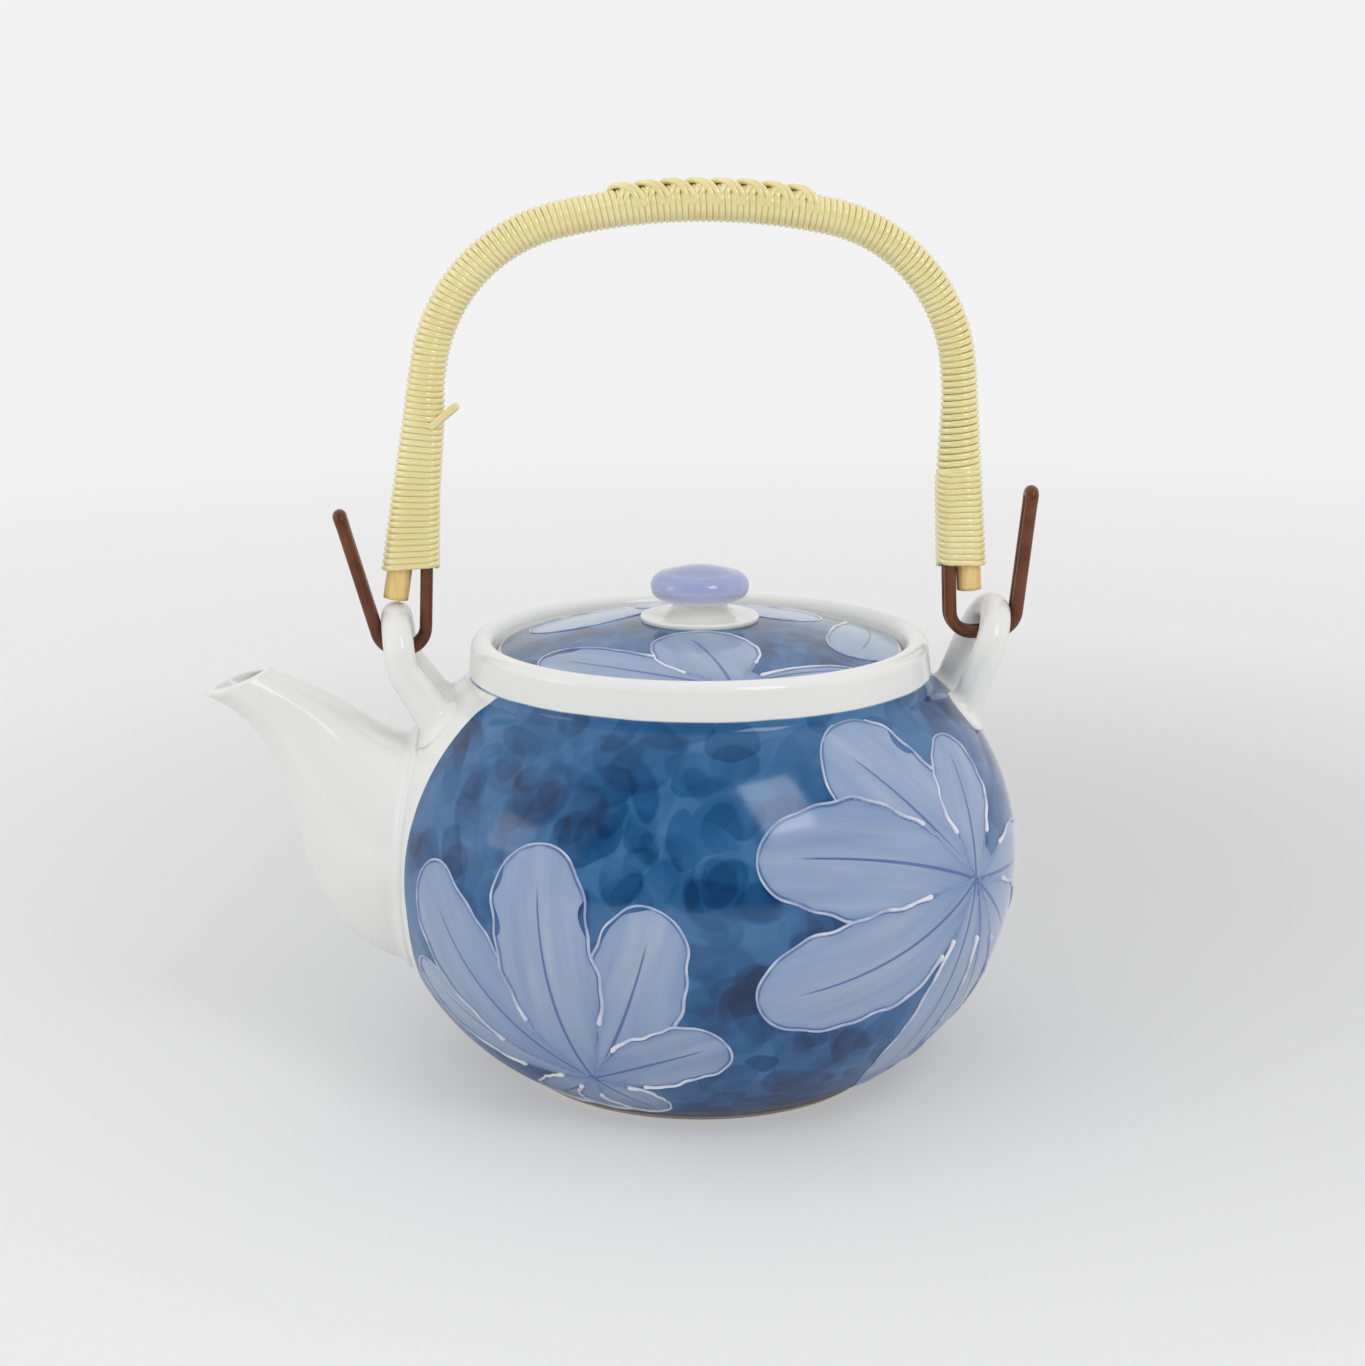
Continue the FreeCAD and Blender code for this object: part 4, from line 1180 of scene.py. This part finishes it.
def painted_porcelain(name):
    """Cobalt dabs and pale petals under a clear glaze."""
    graph = Graph(name)
    add, times, step = graph.add, graph.times, graph.step
    edge, across, share, tone, dab, painted, foot = map(graph.attribute, (
        "edge", "across", "share", "tone", "dab", "painted", "foot"))
    place = graph.place()

    wash = add(dab, graph.dabs(60.0))
    wash = add(wash, graph.about(graph.noise(34.0, place, 3.0), 0.2))
    wash = add(wash, graph.about(graph.noise(260.0, place, 4.0), 0.12))
    ground = graph.ramp(wash, COBALT)

    # Broad strokes and fine hairs of the brush, paler at the base and at the edge
    brush, hair = (
        graph.vector(times(across, wide), times(share, long), times(tone, 9.0))
        for wide, long in ((0.22, 1.8), (2.2, 3.0)))
    shade = graph.math("MULTIPLY_ADD", graph.noise(1.0, brush), 0.55, 0.24)
    shade = add(shade, times(tone, 0.05))
    shade = add(shade, graph.about(graph.noise(1.0, hair), 0.07))
    shade = add(shade, times(step(share, 0.45, 0.0), -0.16))
    shade = add(shade, times(step(edge, -2.6, -0.2), -0.1))
    petal = graph.ramp(shade, PETAL)

    rib_width = add(0.17, times(step(share, 0.85, 0.3), 0.14))
    rib_far = graph.math("DIVIDE", graph.math("ABSOLUTE", across), rib_width)
    rib = times(step(rib_far, 1.8, 0.8), step(share, 0.88, 0.78))
    petal = graph.mix(times(rib, 0.8), petal, RIB)

    # In places the petal's fill stops short of its outline
    inset = times(step(graph.noise(52.0, place, 1.0), 0.6, 0.72), 2.2)
    fill = add(edge, times(inset, step(share, 0.45, 0.6)))
    colour = graph.mix(step(fill, 0.12, -0.12), ground, petal)
    line = step(graph.math("ABSOLUTE", add(edge, 0.55)), 0.42, 0.1)
    broken = step(graph.noise(130.0, place), 0.28, 0.55)
    line = times(times(line, broken), step(share, 0.1, 0.3))
    colour = graph.mix(times(line, 0.7), colour, EDGE_LINE)

    wander = graph.about(graph.noise(75.0, place), 0.5)
    colour = graph.mix(step(add(painted, wander), -0.1, 0.4), white_glaze(graph), colour)
    colour = graph.mix(foot, colour, BISCUIT)
    return glazed(graph, colour, add(0.12, times(foot, 0.5)))


def slip_glaze():
    """White slip, stained by the blue round it away from the flower's centre."""
    graph = Graph("slip")
    cloud = graph.noise(170.0, graph.place(), 3.0)
    near = graph.step(graph.attribute("heart"), 36.0, 10.0)
    white = graph.step(graph.add(graph.times(near, 0.45), cloud), 0.3, 0.95)
    return graph.set(Base_Color=graph.mix(white, *SLIP), Roughness=0.14, IOR=1.5)


def knob_glaze():
    """Lilac button over a white stem and base, with painted light and shade: paler low down and darker on
    top.
    """
    graph = Graph("knob_glaze")
    place = graph.place()
    height = graph.node("ShaderNodeSeparateXYZ", {0: place}).outputs[2]
    waver = graph.times(graph.noise(160.0, place), 0.0008)
    dipped = graph.step(graph.add(height, waver), (KNOB_UNDER + 0.9) * MM, (KNOB_UNDER + 1.7) * MM)
    # Painted light and shade: the lilac runs from pale low on the button to dark on top
    shade_climb = graph.step(height, (KNOB_UNDER + 0.5) * MM, KNOB_TOP * MM)
    cloud = graph.times(graph.noise(120.0, place, 3.0), 0.3)
    lilac = graph.ramp(graph.add(graph.times(shade_climb, 0.8), cloud), LILAC_LIT_TO_SHADED)
    colour = graph.mix(dipped, white_glaze(graph), lilac)
    return graph.set(Base_Color=colour, Roughness=0.05, IOR=1.65)


def cord_vinyl():
    graph = Graph("cord")
    place = graph.place()
    cloud, grain = graph.noise(55.0, place, 3.0), graph.noise(900.0, place)
    tone = graph.add(graph.times(cloud, 0.75), graph.times(grain, 0.25))
    graph.bump(grain, 0.00004)
    return graph.set(Base_Color=graph.ramp(tone, CORD), Roughness=0.12, IOR=2.1)


def cane_wood():
    graph = Graph("cane")
    place = graph.node("ShaderNodeMapping", {"Vector": graph.place(), "Scale": (1.0, 1.0, 0.06)}).outputs[0]
    fibre = graph.noise(1400.0, place, 3.0)
    graph.bump(fibre, 0.00012)
    return graph.set(Base_Color=graph.ramp(fibre, CANE), Roughness=0.5, IOR=1.45)


def wire_cover():
    graph = Graph("hook_wire")
    place = graph.place()
    graph.bump(graph.noise(600.0, place), 0.00006)
    colour = graph.ramp(graph.noise(150.0, place, 3.0), WIRE)
    return graph.set(Base_Color=colour, Roughness=0.2, IOR=1.4)


def dress(thing, made):
    thing.data.materials.clear()
    thing.data.materials.append(made)


def on_pot_paint(line):
    """Places on the pot where slip lines are drawn: under the collar and clear of the spout."""
    clear = turn_from_spout(line) > BARE_TURN + 0.5
    return (line[:, 2] < COLLAR_Z - 0.6) & (line[:, 2] > 1.5) & clear


def on_lid_paint(line):
    """Places on the lid where slip lines are drawn: between the knob's base and the edge."""
    reach = reach_of(line)
    return (reach < LID_EDGE - 0.3) & (reach > KNOB_BASE_R + 0.2)


white, slip, cord = porcelain(), slip_glaze(), cord_vinyl()
pot, lid_piece = pot_skin(), lid_skin()
paint_pot(pot)
paint_lid(lid_piece)
dress(pot, painted_porcelain("painted_pot"))
dress(lid_piece, painted_porcelain("painted_lid"))
dress(slip_lines("pot_slip_lines", POT_PETALS, "pot", on_pot_paint, SLIP_R), slip)
dress(slip_lines("lid_slip_lines", LID_PETALS, "lid", on_lid_paint, SLIP_R * 0.8), slip)
for thing in (spout(), lug("front"), lug("rear"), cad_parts["strainer"]):
    dress(thing, white)
dress(knob(), knob_glaze())
dress(cane(), cane_wood())
for thing in (grip(), plait(), binding("front"), binding("rear")):
    dress(thing, cord)
wire = wire_cover()
for name in SIDE:
    dress(hook(name), wire)


# Stage, light and camera, in metres

FLOOR_HALF = 4.0
# Middle of the painted soft shadow on the floor, and the painted grey seen at distances from it
SHADE = (0.08, 0.18, 0.0)
BACKDROP = (243, 243, 243)
FLOOR_SHADOW_GREYS = [
    (far, (grey,) * 3) for far, grey in
    ((0.06, 190), (0.12, 199), (0.2, 213), (0.28, 227), (0.38, 242), (1.0, BACKDROP[0]))]
FLOOR_GRAIN = (232,) * 3, (240,) * 3

# Lamps: place, size and watts
LAMPS = {
    "right_softbox": ((0.55, -0.91, 1.13), (0.47, 0.66), 3.8),
    "left_softbox": ((-1.54, -0.33, 0.58), (0.45, 0.4), 0.9),
    "left_fill": ((-1.9, -0.5, 0.9), (2.0, 2.0), 4.0),
}
LAMP_AIM = (0, 0, 0.08)

# Even light of the room, and the white tent with a dark opening that gloss mirrors
DOME_LIGHT = 0.78
OPENING_WAY = (-0.09, -0.97, 0.22)
TENT_LIGHT = 0.9
OPENING_LIGHT = 0.05

EYE = (-0.0566208, -0.5988741, 0.23427)
EYE_WAY = (0.08494, 0.97088, -0.22398)
SENSOR_WIDTH = 36
LENS = 66.3


def floor():
    """Pale floor that keeps the pot's soft shadow, shows the camera a painted shadow that glows in greys
    round a point near the pot, and fades to the plain backdrop far away.
    """
    mesh = bpy.data.meshes.new("floor")
    corners = [(x * FLOOR_HALF, y * FLOOR_HALF, 0) for x, y in ((-1, -1), (1, -1), (1, 1), (-1, 1))]
    mesh.from_pydata(corners, [], [(0, 1, 2, 3)])
    thing = placed("floor", mesh)
    graph = Graph("floor")
    far = graph.vectors("LENGTH", graph.vectors("SUBTRACT", graph.place(), SHADE))
    sight = graph.node("ShaderNodeLightPath", {}).outputs["Is Camera Ray"]
    # Painted shadow: greys that darken towards a point near the pot, glowing for camera rays and mixed half
    # and half with the lit floor near the pot
    colour = graph.ramp(far, FLOOR_SHADOW_GREYS)
    painted_shadow_and_backdrop = graph.node("ShaderNodeEmission", {"Color": colour, "Strength": 1.0}).outputs[0]
    share = graph.add(0.5, graph.times(graph.step(far, 0.3, 1.2), 0.5))
    parts = {0: graph.times(share, sight), 1: graph.shader.outputs[0], 2: painted_shadow_and_backdrop}
    blend = graph.node("ShaderNodeMixShader", parts).outputs[0]
    graph.put(graph.tree.nodes["Material Output"].inputs["Surface"], blend)
    grain = graph.mix(graph.noise(700.0, graph.place()), *FLOOR_GRAIN)
    dress(thing, graph.set(Base_Color=grain, Roughness=0.9))


def look(thing, way):
    """Turn a lamp or a camera to a direction."""
    thing.rotation_euler = Vector(way).to_track_quat("-Z", "Y").to_euler()


def lamp(name, place, size, power):
    data = bpy.data.lights.new(name, "AREA")
    data.shape = "RECTANGLE"
    data.size, data.size_y = size
    data.energy = power
    thing = placed(name, data)
    thing.location = place
    look(thing, Vector(LAMP_AIM) - Vector(place))


def studio_world():
    """Even white light; gloss mirrors a white tent that is dark in front; a plain backdrop is seen."""
    graph = Graph("studio", "worlds")
    bpy.context.scene.world = graph.owner
    path = graph.node("ShaderNodeLightPath", {}).outputs
    way = graph.node("ShaderNodeTexCoord", {}).outputs["Generated"]
    tent = graph.step(graph.vectors("DOT_PRODUCT", way, OPENING_WAY), 0.0, 0.8, TENT_LIGHT, OPENING_LIGHT)
    white = (1, 1, 1, 1)
    shown, gloss, seen = (
        graph.node("ShaderNodeBackground", {"Color": colour, "Strength": strength}).outputs[0]
        for colour, strength in ((white, DOME_LIGHT), (white, tent), (linear(*BACKDROP), 1.0)))
    for ray, light in (("Is Glossy Ray", gloss), ("Is Camera Ray", seen)):
        shown = graph.node("ShaderNodeMixShader", {0: path[ray], 1: shown, 2: light}).outputs[0]
    graph.put(graph.tree.nodes["World Output"].inputs["Surface"], shown)


floor()
for name, row in LAMPS.items():
    lamp(name, *row)
studio_world()

camera = bpy.data.cameras.new("camera")
camera.sensor_width = SENSOR_WIDTH
camera.lens = LENS
eye = placed("camera", camera)
eye.location = EYE
look(eye, EYE_WAY)
bpy.context.scene.camera = eye
bpy.context.scene.view_settings.view_transform = "Standard"
